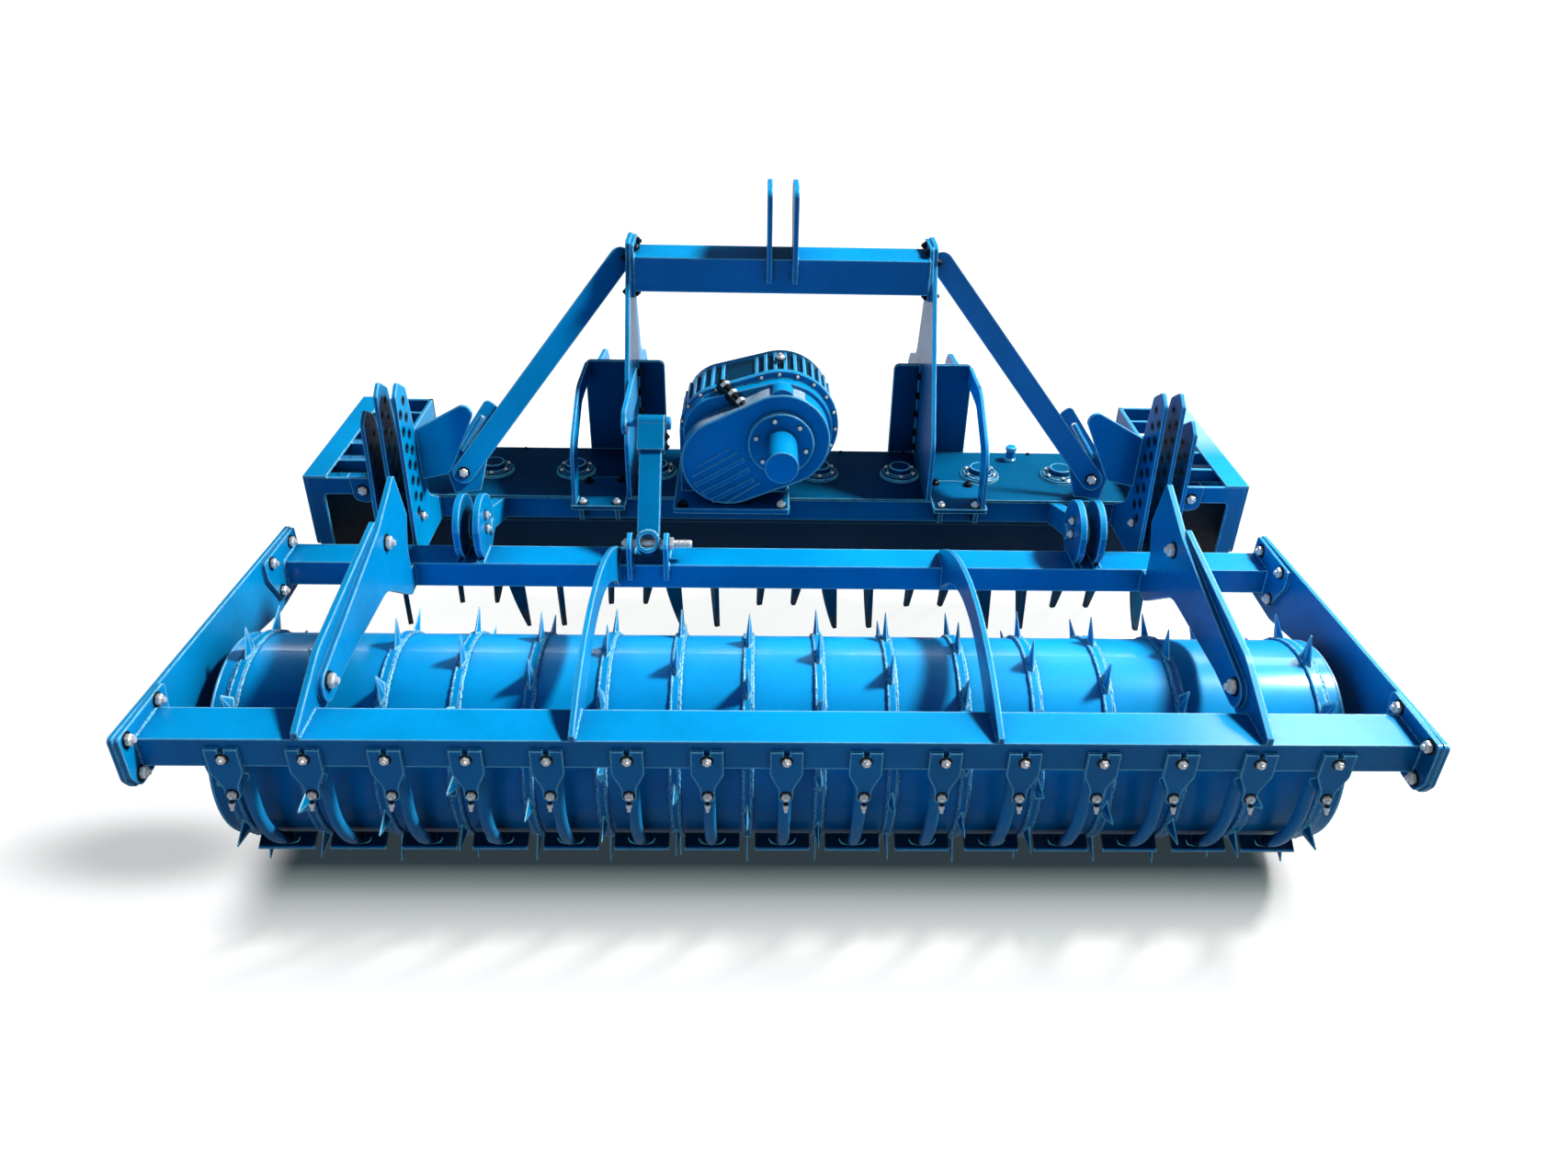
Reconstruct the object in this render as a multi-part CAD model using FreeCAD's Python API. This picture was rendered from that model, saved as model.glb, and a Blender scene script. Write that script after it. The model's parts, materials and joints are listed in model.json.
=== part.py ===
"""Power harrow with a tooth packer roller, three-metre class, three-point mounted.

X runs across the machine, +Y is the direction of travel, +Z is up, and the
ground is Z = 0.  The origin lies on the ground under the middle of the machine.
The harrow stands parked on its tines and on its roller.  All sizes are in mm.
"""
import FreeCAD
import Part
import math
import os

V = FreeCAD.Vector

# ---------------------------------------------------------------- driving dimensions
# reach of the whole machine, fore and aft of the row of rotors
REAR_REACH = 1620
FRONT_REACH = 520
ROTOR_Y = (REAR_REACH - FRONT_REACH) / 2      # puts the origin midway

RUN = 0.05              # radial clearance of a shaft in its bearing
FREE = 6                # clearance beside moving pieces

# rotors and their tines
ROTORS = 10
ROTOR_PITCH = 285
SHAFT_R = 32
SHAFT_UP = 90           # how far the shaft stands into the trough
HOLDER_H = 58
HOLDER_REACH = 118
HOLDER_W = 92
HUB_R = 72
TINE_DROP = 340         # tine length below its holder
TINE_T = 18
TINE_ORBIT = 100        # rotor axis to the middle of the tine's thickness
TINE_W = 74
TINE_SWEEP = 44         # how far the tip trails
TINE_TIP = 14
HOLDER_GAP = 5          # holder to bearing boss

# gear trough
TROUGH_DEPTH = 165
TROUGH_HALF_Y = 185
TROUGH_WALL = 8
TROUGH_END = 10         # trough beyond the last rotor's half pitch
TROUGH_CHAMFER = 80
BOSS_R = 88
BOSS_H = 32
COVER_T = 10
COVER_LIP = 6
DOME_R = 66
DOME_H = 34
DOME_HUB_R = 36
BREATHER_R = 15
BREATHER_H = 46
BREATHER_X = 845
BREATHER_FWD = 130

# packer roller
RINGS = 16
RING_PITCH = 187.5
DRUM_R = 274
DRUM_WALL = 10
DRUM_OVERHANG = 56
DRUM_RECESS = 38
AXLE_R = 30
RING_W = 20
RING_H = 7
TEETH = 10
TOOTH_H = 75
TOOTH_L = 66
TOOTH_LEAN = 22
TOOTH_TIP = 9
RING_STEP_DEG = 13.5    # turn of each ring against the one before it
ROLLER_BEHIND = 1137    # roller axis behind the rotor axes

# roller frame
BEAM_WALL = 6
REAR_BEAM_D = 120
REAR_BEAM_H = 80
REAR_BEAM_DEG = 38.4    # direction of its inner corner, seen from the roller axis
REAR_BEAM_CLEAR = 42    # inner corner to the tooth tips
FRONT_BEAM_D = 110
FRONT_BEAM_H = 80
FRONT_BEAM_AHEAD = 495  # near face ahead of the roller axis
FRONT_BEAM_UP = 171     # underside above the roller axis
PLATE_T = 12
BEARING_GAP = 55.5      # drum end to end plate
BEARING_R = 92
BEARING_T = 30
BEARING_ARM_R = 118
PLATE_TOP_REAR = 43     # end plate above the rear beam's top
PLATE_TOP_FRONT = 58
PLATE_DROP_REAR = 130
PLATE_LOW_REAR = 551    # lowest edge at the rear corner
PLATE_DROP_FRONT = 190
PLATE_NOSE = 14         # end plate ahead of the front beam
FLANGE_IN = 12          # bolted flange on each beam's end

# frame hinge on the trough
HINGE_X = 945
HINGE_AHEAD = 32        # hinge axis ahead of the front beam
HINGE_UP = 54           # hinge axis above the front beam's top
HINGE_PIN_R = 20
EAR_R = 100
EAR_T = 20
EAR_BACK = 46           # ear's middle behind the hinge axis
EAR_UP = 24             # and above it
LUG_T = 36
LUG_R = 44
LUG_SIDE = 2

# ribs and adjusting arms of the roller frame
INNER_RIB_X = 495
INNER_RIB_T = 14
INNER_RIB_RISE = 112
INNER_RIB_W = 74
ARM_X = 1114
ARM_T = 16
OUTER_RIB_T = 16
ARM_TIP_UP = 316        # arm tip above the front beam's top
ARM_BOLT_R = 12

# scrapers
SCRAPER_TAB_W = 78
SCRAPER_TAB_T = 10
SCRAPER_TAB_TOP = 24    # tab's upper edge below the beam's top
SCRAPER_NECK = 96       # end of the tab's neck below the beam
SCRAPER_SLOT_W = 14     # open slot for the tab's bolt
SCRAPER_SLOT_H = 18
SCRAPER_ARM_R = 16
SCRAPER_ARM_IN = 66     # arm ahead of the beam's rear face
SCRAPER_BEND = 289
SCRAPER_BEND_DEG = 51.8
SCRAPER_STRAIGHT = 172
BLADE_W = 146
BLADE_T = 8
BLADE_L = 46

# depth strut
STRUT_X = -405
STRUT_TOP_BEHIND = 165  # strut top behind the trough
STRUT_TOP_Z = 940
STRUT_PIN_R = 12
STRUT_BAR_W = 68
STRUT_BAR_T = 34
STRUT_WALL = 8
SLEEVE_L = 92
EYE_R = 36
EYE_BORE = 24
EYE_L = 62
EYE_CLEAR = 4
STRUT_LUG_T = 14
STRUT_LUG_R = 34
STRUT_EYE_IN = 37       # eye pin ahead of the front beam's rear face
STRUT_EYE_UP = 55       # eye pin above the front beam's top

# tower and hitch
MAST_X = 505
MAST_T = 15
MAST_TOP_Z = 1372
TOWER_BEAM_AHEAD = 70   # tower beam ahead of the rotor axes
TOWER_BEAM_Z = 1222
TOWER_BEAM_D = 155
TOWER_BEAM_H = 112
FLANGE_T = 14
TOP_LUG_GAP = 68
TOP_LUG_T = 16
TOP_PIN_EDGE = 60       # lug above the top pin
TOP_PIN_R = 13
TOP_PIN_AHEAD = 25      # top pin ahead of the tower beam
TOP_PIN_UP = 166        # and above it
LOWER_PIN_R = 18.3
LOWER_PIN_EDGE = 70     # lower pin behind the machine's front
LOWER_PIN_Z = 800
LINK_GAP = 128
EAR_PLATE_T = 15
STRAP_X = 672
STRAP_T = 12
STRAP_W = 66
FOOT_T = 15
FOOT_REAR = 105         # foot plate behind the trough
BRACE_W = 74
BRACE_T = 12
BRACE_FOOT_X = 1062
BRACE_FOOT_Z = 668
BRACE_FOOT_IN = 24      # brace foot ahead of the trough's rear wall
FOOT_PLATE_T = 10

# gearbox
GEAR_Z = 845
COVER_R = 157
LOBE_X = -172
LOBE_Z = 774
LOBE_R = 150
COVER_UP = 6            # cover above the drive axis
COVER_BOSS_R = 43
COVER_BEHIND = 95       # cover's rear face behind the trough
COVER_DEPTH = 70
HOUSING_R = 168
HOUSING_LOBE_X = -186
HOUSING_LOBE_Z = 842
HOUSING_LOBE_R = 132
HOUSING_LOBE_RIM = 14
HOUSING_AHEAD = 90      # housing ahead of the rotor axes
HOUSING_FLANGE_R = 190
HOUSING_FLANGE_T = 22
STUB_FLANGE_R = 104
STUB_R = 52
STUB_L = 170
GEAR_BASE_T = 18
GEAR_BASE_RIGHT = 32
GEAR_BASE_REAR = 122    # base plate behind the trough
GEAR_BASE_AHEAD = 120   # base plate ahead of the rotor axes
INPUT_Z = 720
INPUT_BOSS_R = 70
INPUT_R = 17.5
INPUT_L = 150

# depth plates, side frames
HOLE_PLATE_X = (1146, 1200, 1254)
HOLE_PLATE_T = 12
HOLE_R = 9
HOLE_ROWS = 7
HOLE_STEP = 56
SIDE_OVER = 85          # side frame beyond the trough's end
SIDE_W = 252
SIDE_BEHIND = 165
SIDE_AHEAD = 120
SIDE_TOP = 743
SIDE_LOW = 490
SIDE_T = 12
SIDE_RAIL_H = 90
RUNGS = 4

# ---------------------------------------------------------------- worked-out places
TROUGH_LOW = TINE_DROP + HOLDER_H + HOLDER_GAP + BOSS_H
TROUGH_TOP = TROUGH_LOW + TROUGH_DEPTH
COVER_Z = TROUGH_TOP - COVER_T
TROUGH_HALF_X = ROTORS * ROTOR_PITCH / 2 + TROUGH_END
TROUGH_REAR = ROTOR_Y - TROUGH_HALF_Y
TROUGH_FRONT = ROTOR_Y + TROUGH_HALF_Y

TIP_R = DRUM_R + TOOTH_H
ROLLER_Y = ROTOR_Y - ROLLER_BEHIND
ROLLER_Z = TIP_R
DRUM_HALF = (RINGS - 1) * RING_PITCH / 2 + DRUM_OVERHANG
PLATE_IN = DRUM_HALF + BEARING_GAP
REAR_Y = ROTOR_Y - REAR_REACH
FRONT_Y = ROTOR_Y + FRONT_REACH

_corner = TIP_R + REAR_BEAM_CLEAR
REAR_BEAM_FRONT = ROLLER_Y - _corner * math.cos(math.radians(REAR_BEAM_DEG))
REAR_BEAM_REAR = REAR_BEAM_FRONT - REAR_BEAM_D
REAR_BEAM_LOW = ROLLER_Z + _corner * math.sin(math.radians(REAR_BEAM_DEG))
REAR_BEAM_TOP = REAR_BEAM_LOW + REAR_BEAM_H
FRONT_BEAM_REAR = ROLLER_Y + FRONT_BEAM_AHEAD
FRONT_BEAM_FRONT = FRONT_BEAM_REAR + FRONT_BEAM_D
FRONT_BEAM_LOW = ROLLER_Z + FRONT_BEAM_UP
FRONT_BEAM_TOP = FRONT_BEAM_LOW + FRONT_BEAM_H
HINGE_Y = FRONT_BEAM_FRONT + HINGE_AHEAD
HINGE_Z = FRONT_BEAM_TOP + HINGE_UP
EYE_Y = FRONT_BEAM_REAR + STRUT_EYE_IN
EYE_Z = FRONT_BEAM_TOP + STRUT_EYE_UP
STRUT_TOP_Y = TROUGH_REAR - STRUT_TOP_BEHIND
TOWER_BEAM_Y = ROTOR_Y + TOWER_BEAM_AHEAD
TOP_PIN_Y = TOWER_BEAM_Y + TOWER_BEAM_D + TOP_PIN_AHEAD
TOP_PIN_Z = TOWER_BEAM_Z + TOWER_BEAM_H + TOP_PIN_UP
TOP_LUG_TOP = TOP_PIN_Z + TOP_PIN_EDGE
LOWER_PIN_Y = FRONT_Y - LOWER_PIN_EDGE
COVER_REAR = TROUGH_REAR - COVER_BEHIND
HOUSING_FRONT = ROTOR_Y + HOUSING_AHEAD
SIDE_OUT = TROUGH_HALF_X + SIDE_OVER
SIDE_IN = SIDE_OUT - SIDE_W
SIDE_REAR = TROUGH_REAR - SIDE_BEHIND
SIDE_FRONT = TROUGH_FRONT + SIDE_AHEAD
MAST_IN = MAST_X - MAST_T / 2
MAST_OUT = MAST_X + MAST_T / 2


# ---------------------------------------------------------------- shape helpers
def closed_wire(points, to3d):
    """Closed wire through (u, v) points; a third value rounds that corner."""
    starts, mids, ends = [], [], []
    count = len(points)
    for i, point in enumerate(points):
        here = V(point[0], point[1], 0)
        radius = point[2] if len(point) > 2 else 0
        back = (V(*points[i - 1][:2], 0) - here).normalize()
        ahead = (V(*points[(i + 1) % count][:2], 0) - here).normalize()
        if radius:
            half = back.getAngle(ahead) / 2
            inward = (back + ahead).normalize()
            starts.append(here + back * (radius / math.tan(half)))
            ends.append(here + ahead * (radius / math.tan(half)))
            mids.append(here + inward * (radius / math.sin(half) - radius))
        else:
            starts.append(here)
            ends.append(here)
            mids.append(None)
    edges = []
    for i in range(count):
        if mids[i]:
            edges.append(Part.Arc(*(to3d(p.x, p.y) for p in (starts[i], mids[i], ends[i]))).toShape())
        a, b = ends[i], starts[(i + 1) % count]
        if a.distanceToPoint(b) > 1e-6:
            edges.append(Part.LineSegment(to3d(a.x, a.y), to3d(b.x, b.y)).toShape())
    return Part.Wire(edges)


def plate_x(points, x, thick):
    """Plate standing across X, its outline given as (y, z)."""
    return Part.Face(closed_wire(points, lambda u, v: V(x, u, v))).extrude(V(thick, 0, 0))


def plate_y(points, y, thick):
    """Plate standing across Y, its outline given as (x, z)."""
    return Part.Face(closed_wire(points, lambda u, v: V(u, y, v))).extrude(V(0, thick, 0))


def plate_z(points, z, thick):
    """Flat plate, its outline given as (x, y)."""
    return Part.Face(closed_wire(points, lambda u, v: V(u, v, z))).extrude(V(0, 0, thick))


def box(x0, x1, y0, y1, z0, z1):
    return Part.makeBox(x1 - x0, y1 - y0, z1 - z0, V(x0, y0, z0))


def rod_x(x0, x1, y, z, radius):
    return Part.makeCylinder(radius, x1 - x0, V(x0, y, z), V(1, 0, 0))


def rod_y(x, y0, y1, z, radius):
    return Part.makeCylinder(radius, y1 - y0, V(x, y0, z), V(0, 1, 0))


def rod_z(x, y, z0, z1, radius):
    return Part.makeCylinder(radius, z1 - z0, V(x, y, z0), V(0, 0, 1))


def beam_x(half, y0, y1, z0, z1, wall):
    """Rectangular tube across the machine."""
    outer = box(-half, half, y0, y1, z0, z1)
    return outer.cut(box(-half - 1, half + 1, y0 + wall, y1 - wall, z0 + wall, z1 - wall))


def fuse(first, *others):
    return first.fuse(list(others)).removeSplitter() if others else first


def mirrored(shape):
    return shape.mirror(V(0, 0, 0), V(1, 0, 0))


def pair(*shapes):
    """The pieces and their mirror images on the other side."""
    return Part.Compound([s for shape in shapes for s in (shape, mirrored(shape))])


def spread(count, pitch):
    """Places of count pieces, pitch apart, about the middle."""
    return [(i - (count - 1) / 2) * pitch for i in range(count)]


ROTOR_X = spread(ROTORS, ROTOR_PITCH)
RING_X = spread(RINGS, RING_PITCH)
SCRAPER_X = spread(RINGS - 1, RING_PITCH)


# ---------------------------------------------------------------- rotors
def make_rotor(x, turn):
    holder_top = TINE_DROP + HOLDER_H
    shaft = rod_z(0, 0, holder_top - 1, TROUGH_LOW + SHAFT_UP, SHAFT_R)
    hub = rod_z(0, 0, TINE_DROP, holder_top, HUB_R)
    arm = plate_z([(-HOLDER_REACH, -HOLDER_W / 2, 18), (HOLDER_REACH, -HOLDER_W / 2, 18),
                   (HOLDER_REACH, HOLDER_W / 2, 18), (-HOLDER_REACH, HOLDER_W / 2, 18)], TINE_DROP, HOLDER_H)
    r0 = TINE_ORBIT - TINE_T / 2
    top, half = TINE_DROP + HOLDER_H / 2, TINE_W / 2
    at = lambda s, z: V(r0, s, z)
    lead = Part.Arc(at(half, top), at(half + 0.18 * TINE_SWEEP, 0.42 * TINE_DROP), at(TINE_SWEEP + TINE_TIP / 2, 0))
    trail = Part.Arc(at(TINE_SWEEP - TINE_TIP / 2, 0), at(-0.1 * half, 0.42 * TINE_DROP), at(-half, top))
    tip = Part.LineSegment(at(TINE_SWEEP + TINE_TIP / 2, 0), at(TINE_SWEEP - TINE_TIP / 2, 0))
    head = Part.LineSegment(at(-half, top), at(half, top))
    tine = Part.Face(Part.Wire([e.toShape() for e in (lead, tip, trail, head)])).extrude(V(TINE_T, 0, 0))
    other = tine.copy()
    other.rotate(V(0, 0, 0), V(0, 0, 1), 180)
    whole = fuse(shaft, hub, arm, tine, other)
    whole.rotate(V(0, 0, 0), V(0, 0, 1), turn)
    whole.translate(V(x, ROTOR_Y, 0))
    return whole


# ---------------------------------------------------------------- gear trough
def make_trough():
    y0, y1, z1 = TROUGH_REAR, TROUGH_FRONT, COVER_Z
    c, w = TROUGH_CHAMFER, TROUGH_WALL
    section = [(y0, z1), (y0, TROUGH_LOW + c), (y0 + c, TROUGH_LOW), (y1 - c, TROUGH_LOW), (y1, TROUGH_LOW + c), (y1, z1)]
    lift = c * math.tan(math.radians(22.5)) * w / c
    inner = [(y0 + w, z1 + 1), (y0 + w, TROUGH_LOW + c + lift), (y0 + c + lift, TROUGH_LOW + w),
             (y1 - c - lift, TROUGH_LOW + w), (y1 - w, TROUGH_LOW + c + lift), (y1 - w, z1 + 1)]
    body = plate_x(section, -TROUGH_HALF_X, 2 * TROUGH_HALF_X)
    inside = TROUGH_HALF_X - PLATE_T
    body = body.cut(plate_x(inner, -inside, 2 * inside))
    body = body.fuse([rod_z(x, ROTOR_Y, TROUGH_LOW - BOSS_H, TROUGH_LOW + w, BOSS_R) for x in ROTOR_X])
    return body.cut([rod_z(x, ROTOR_Y, TROUGH_LOW - BOSS_H - 1, TROUGH_LOW + w + 1, SHAFT_R + RUN) for x in ROTOR_X])


def cover_edge():
    """Room that the cover's overhanging rear edge takes, for what ends on the trough's rear wall."""
    half = TROUGH_HALF_X + COVER_LIP
    return box(-half, half, TROUGH_REAR - COVER_LIP - 0.3, TROUGH_REAR + 1, COVER_Z - 0.3, TROUGH_TOP + 0.3)


def make_cover():
    half = TROUGH_HALF_X + COVER_LIP
    sheet = box(-half, half, TROUGH_REAR - COVER_LIP, TROUGH_FRONT + COVER_LIP, COVER_Z, TROUGH_TOP)
    profile = [(0, TROUGH_TOP - 1), (DOME_R, TROUGH_TOP - 1), (DOME_R, TROUGH_TOP + 8), (DOME_R - 10, TROUGH_TOP + 14),
               (DOME_HUB_R + 6, TROUGH_TOP + 14), (DOME_HUB_R, TROUGH_TOP + DOME_H), (0, TROUGH_TOP + DOME_H)]
    dome = Part.Face(closed_wire(profile, lambda u, v: V(u, 0, v))).revolve(V(0, 0, 0), V(0, 0, 1), 360)
    domes = []
    low, high = gear_base_ends()
    for x in ROTOR_X:
        if low - DOME_R < x < high + DOME_R:
            continue            # that rotor's bearing is under the gearbox
        copy = dome.copy()
        copy.translate(V(x, ROTOR_Y, 0))
        domes.append(copy)
    breather = rod_z(BREATHER_X, ROTOR_Y + BREATHER_FWD, TROUGH_TOP - 1, TROUGH_TOP + BREATHER_H, BREATHER_R)
    return fuse(sheet, breather, *domes)


# ---------------------------------------------------------------- packer roller
def make_drum():
    half = DRUM_HALF
    tube = rod_x(-half, half, ROLLER_Y, ROLLER_Z, DRUM_R).cut(
        rod_x(-half - 1, half + 1, ROLLER_Y, ROLLER_Z, DRUM_R - DRUM_WALL))
    ends = []
    for sign in (-1, 1):
        x = sign * (half - DRUM_RECESS)
        ends.append(rod_x(x - PLATE_T / 2, x + PLATE_T / 2, ROLLER_Y, ROLLER_Z, DRUM_R - DRUM_WALL / 2))
        a, b = sorted((x, sign * (PLATE_IN - 2)))
        ends.append(rod_x(a, b, ROLLER_Y, ROLLER_Z, AXLE_R))
    return fuse(tube, *ends)


def tooth_point():
    """Outermost corner of a tooth, ahead of and above the roller axis."""
    return TOOTH_LEAN, math.sqrt(TIP_R ** 2 - TOOTH_LEAN ** 2)


def make_ring():
    """One weld ring with its spikes, about the X axis."""
    band = rod_x(-RING_W / 2, RING_W / 2, 0, 0, DRUM_R + RING_H).cut(rod_x(-RING_W, RING_W, 0, 0, DRUM_R))
    root = DRUM_R + RING_H / 2
    base = [V(0, -TOOTH_L / 2, root), V(RING_W * 0.48, -TOOTH_L * 0.08, root), V(0, TOOTH_L / 2, root),
            V(-RING_W * 0.48, -TOOTH_L * 0.08, root)]
    ahead, height = tooth_point()
    tip = [V(0, ahead - TOOTH_TIP, height), V(1.6, ahead - TOOTH_TIP / 2, height), V(0, ahead, height),
           V(-1.6, ahead - TOOTH_TIP / 2, height)]
    wires = [Part.makePolygon(ring + ring[:1]) for ring in (base, tip)]
    tooth = Part.makeLoft(wires, True, True)
    teeth = []
    for i in range(TEETH):
        copy = tooth.copy()
        copy.rotate(V(0, 0, 0), V(1, 0, 0), i * 360 / TEETH)
        teeth.append(copy)
    return band.fuse(teeth)


def make_rings():
    ring = make_ring()
    lean = math.degrees(math.atan2(*tooth_point()))
    rings = []
    for i, x in enumerate(RING_X):
        step = min(i, RINGS - 1 - i) if i in (0, RINGS - 1) else i
        copy = ring.copy()
        copy.rotate(V(0, 0, 0), V(1, 0, 0), 180 + lean + step * RING_STEP_DEG)
        copy.translate(V(x, ROLLER_Y, ROLLER_Z))
        rings.append(copy)
    return Part.Compound(rings)


def make_bearings():
    x0 = PLATE_IN - BEARING_T
    flange = rod_x(PLATE_IN - 12, PLATE_IN, ROLLER_Y, ROLLER_Z, BEARING_R)
    nose = rod_x(x0, PLATE_IN, ROLLER_Y, ROLLER_Z, BEARING_R * 0.68)
    housing = fuse(flange, nose).cut(rod_x(x0 - 1, PLATE_IN + 1, ROLLER_Y, ROLLER_Z, AXLE_R + RUN))
    return pair(housing)


# ---------------------------------------------------------------- roller frame
def make_end_plates():
    top_rear = REAR_BEAM_TOP + PLATE_TOP_REAR
    top_front = FRONT_BEAM_TOP + PLATE_TOP_FRONT
    nose = FRONT_BEAM_FRONT + PLATE_NOSE
    band = plate_x([(REAR_Y, top_rear, 12), (nose, top_front, 12), (nose + 12, top_front - PLATE_DROP_FRONT, 30),
                    (FRONT_BEAM_REAR - 60, top_front - PLATE_DROP_FRONT - 6, 60),
                    (REAR_BEAM_FRONT + 120, top_rear - PLATE_DROP_REAR + 2, 60),
                    (REAR_BEAM_REAR + 48, PLATE_LOW_REAR, 30), (REAR_Y + 26, PLATE_LOW_REAR, 26),
                    (REAR_Y, PLATE_LOW_REAR + 42, 30)],
                   PLATE_IN, PLATE_T)
    arm = plate_x([(ROLLER_Y - BEARING_ARM_R - 90, REAR_BEAM_LOW + 20), (ROLLER_Y + BEARING_ARM_R + 130, REAR_BEAM_LOW),
                   (ROLLER_Y + BEARING_ARM_R + 20, ROLLER_Z - BEARING_ARM_R, BEARING_ARM_R * 0.9),
                   (ROLLER_Y - BEARING_ARM_R - 20, ROLLER_Z - BEARING_ARM_R, BEARING_ARM_R * 0.9)], PLATE_IN, PLATE_T)
    return pair(fuse(band, arm))


def flanged_beam(y0, y1, z0, z1, outline):
    """Tube across the machine with a bolted flange on each end."""
    half = PLATE_IN - FLANGE_IN
    flange = plate_x(outline, half, FLANGE_IN)
    return fuse(beam_x(half, y0, y1, z0, z1, BEAM_WALL), flange, mirrored(flange))


def make_front_beam():
    top = FRONT_BEAM_TOP + PLATE_TOP_FRONT - 3
    low = FRONT_BEAM_LOW - 20
    nose = FRONT_BEAM_FRONT + PLATE_NOSE
    outline = [(FRONT_BEAM_REAR - 116, top + 7, 14), (nose - 2, top, 10), (nose + 4, FRONT_BEAM_LOW - 4, 16), (FRONT_BEAM_REAR + 6, low, 20),
               (FRONT_BEAM_REAR - 52, low, 24), (FRONT_BEAM_REAR - 116, top - 50, 40)]
    return flanged_beam(FRONT_BEAM_REAR, FRONT_BEAM_FRONT, FRONT_BEAM_LOW, FRONT_BEAM_TOP, outline)


def make_rear_beam():
    top = REAR_BEAM_TOP + PLATE_TOP_REAR - 3
    low = PLATE_LOW_REAR + 3
    outline = [(REAR_Y + 3, top, 12), (REAR_BEAM_FRONT + 60, top - 6, 14), (REAR_BEAM_FRONT + 34, REAR_BEAM_LOW - 4, 16),
               (REAR_BEAM_REAR + 60, REAR_BEAM_LOW - 6, 14), (REAR_BEAM_REAR + 44, low, 20), (REAR_Y + 30, low, 24),
               (REAR_Y + 3, low + 44, 28)]
    return flanged_beam(REAR_BEAM_REAR, REAR_BEAM_FRONT, REAR_BEAM_LOW, REAR_BEAM_TOP, outline)


def make_inner_ribs():
    """Arched plates that tie the two beams together over the roller."""
    w = INNER_RIB_W
    rear, front = REAR_BEAM_REAR, FRONT_BEAM_FRONT - 20
    middle = (rear + front) / 2
    at = lambda y, z: V(INNER_RIB_X, y, z)
    top = max(REAR_BEAM_TOP, FRONT_BEAM_TOP) + INNER_RIB_RISE
    outer = Part.Arc(at(rear, REAR_BEAM_TOP + 14), at(middle, top), at(front, FRONT_BEAM_TOP + 12))
    inner = Part.Arc(at(FRONT_BEAM_REAR, FRONT_BEAM_LOW + 6), at(middle, top - w), at(REAR_BEAM_FRONT, REAR_BEAM_LOW + 20))
    corners = [at(rear, REAR_BEAM_TOP + 14), at(rear, REAR_BEAM_TOP), at(REAR_BEAM_FRONT, REAR_BEAM_TOP),
               at(REAR_BEAM_FRONT, REAR_BEAM_LOW + 20)]
    ends = [at(FRONT_BEAM_REAR, FRONT_BEAM_LOW + 6), at(FRONT_BEAM_REAR, FRONT_BEAM_TOP), at(front, FRONT_BEAM_TOP),
            at(front, FRONT_BEAM_TOP + 12)]
    lines = [Part.LineSegment(a, b) for run in (corners, ends) for a, b in zip(run, run[1:])]
    edges = Part.__sortEdges__([e.toShape() for e in lines + [outer, inner]])
    return pair(Part.Face(Part.Wire(edges)).extrude(V(INNER_RIB_T, 0, 0)))


def arm_bolts():
    """Places of the two bolts through each adjusting arm, as (y, z)."""
    return [(ROLLER_Y - 240, REAR_BEAM_TOP + 32), (FRONT_BEAM_REAR - 191, FRONT_BEAM_TOP + 180)]


def make_arms():
    tip_z = FRONT_BEAM_TOP + ARM_TIP_UP
    rear_bolt, front_bolt = arm_bolts()
    y0 = FRONT_BEAM_REAR
    plate = plate_x([(rear_bolt[0] - 52, rear_bolt[1] + 20, 40), (front_bolt[0] - 40, front_bolt[1] + 60, 60),
                     (y0 - 40, tip_z, 8), (y0 + 12, FRONT_BEAM_TOP + 160, 10), (y0 - 30, FRONT_BEAM_TOP + 70, 20),
                     (y0 - 30, FRONT_BEAM_TOP), (y0, FRONT_BEAM_TOP), (y0, FRONT_BEAM_LOW + 8), (y0 - 60, FRONT_BEAM_LOW + 4, 20),
                     (y0 - 250, FRONT_BEAM_TOP + 60, 120), (rear_bolt[0] + 120, rear_bolt[1] - 40, 60),
                     (rear_bolt[0] - 30, rear_bolt[1] - 58, 40)], ARM_X, ARM_T)
    for y, z in (rear_bolt, front_bolt):
        plate = plate.cut(rod_x(ARM_X - 1, ARM_X + ARM_T + 1, y, z, ARM_BOLT_R))
    return pair(plate)


def make_outer_ribs():
    rear_bolt, front_bolt = arm_bolts()
    x = ARM_X + ARM_T
    heel = REAR_BEAM_REAR
    plate = plate_x([(heel, REAR_BEAM_TOP), (heel, REAR_BEAM_TOP + 18, 6),
                     (rear_bolt[0] + 20, rear_bolt[1] + 78, 160), (front_bolt[0] - 10, front_bolt[1] + 74, 20),
                     (front_bolt[0] + 46, front_bolt[1] + 10, 30), (rear_bolt[0] + 200, rear_bolt[1] - 14, 120),
                     (REAR_BEAM_FRONT + 8, REAR_BEAM_LOW + 24, 10), (REAR_BEAM_FRONT, REAR_BEAM_LOW + 24),
                     (REAR_BEAM_FRONT, REAR_BEAM_TOP)], x, OUTER_RIB_T)
    for y, z in (rear_bolt, front_bolt):
        plate = plate.cut(rod_x(x - 1, x + OUTER_RIB_T + 1, y, z, ARM_BOLT_R))
    return pair(plate)


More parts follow.
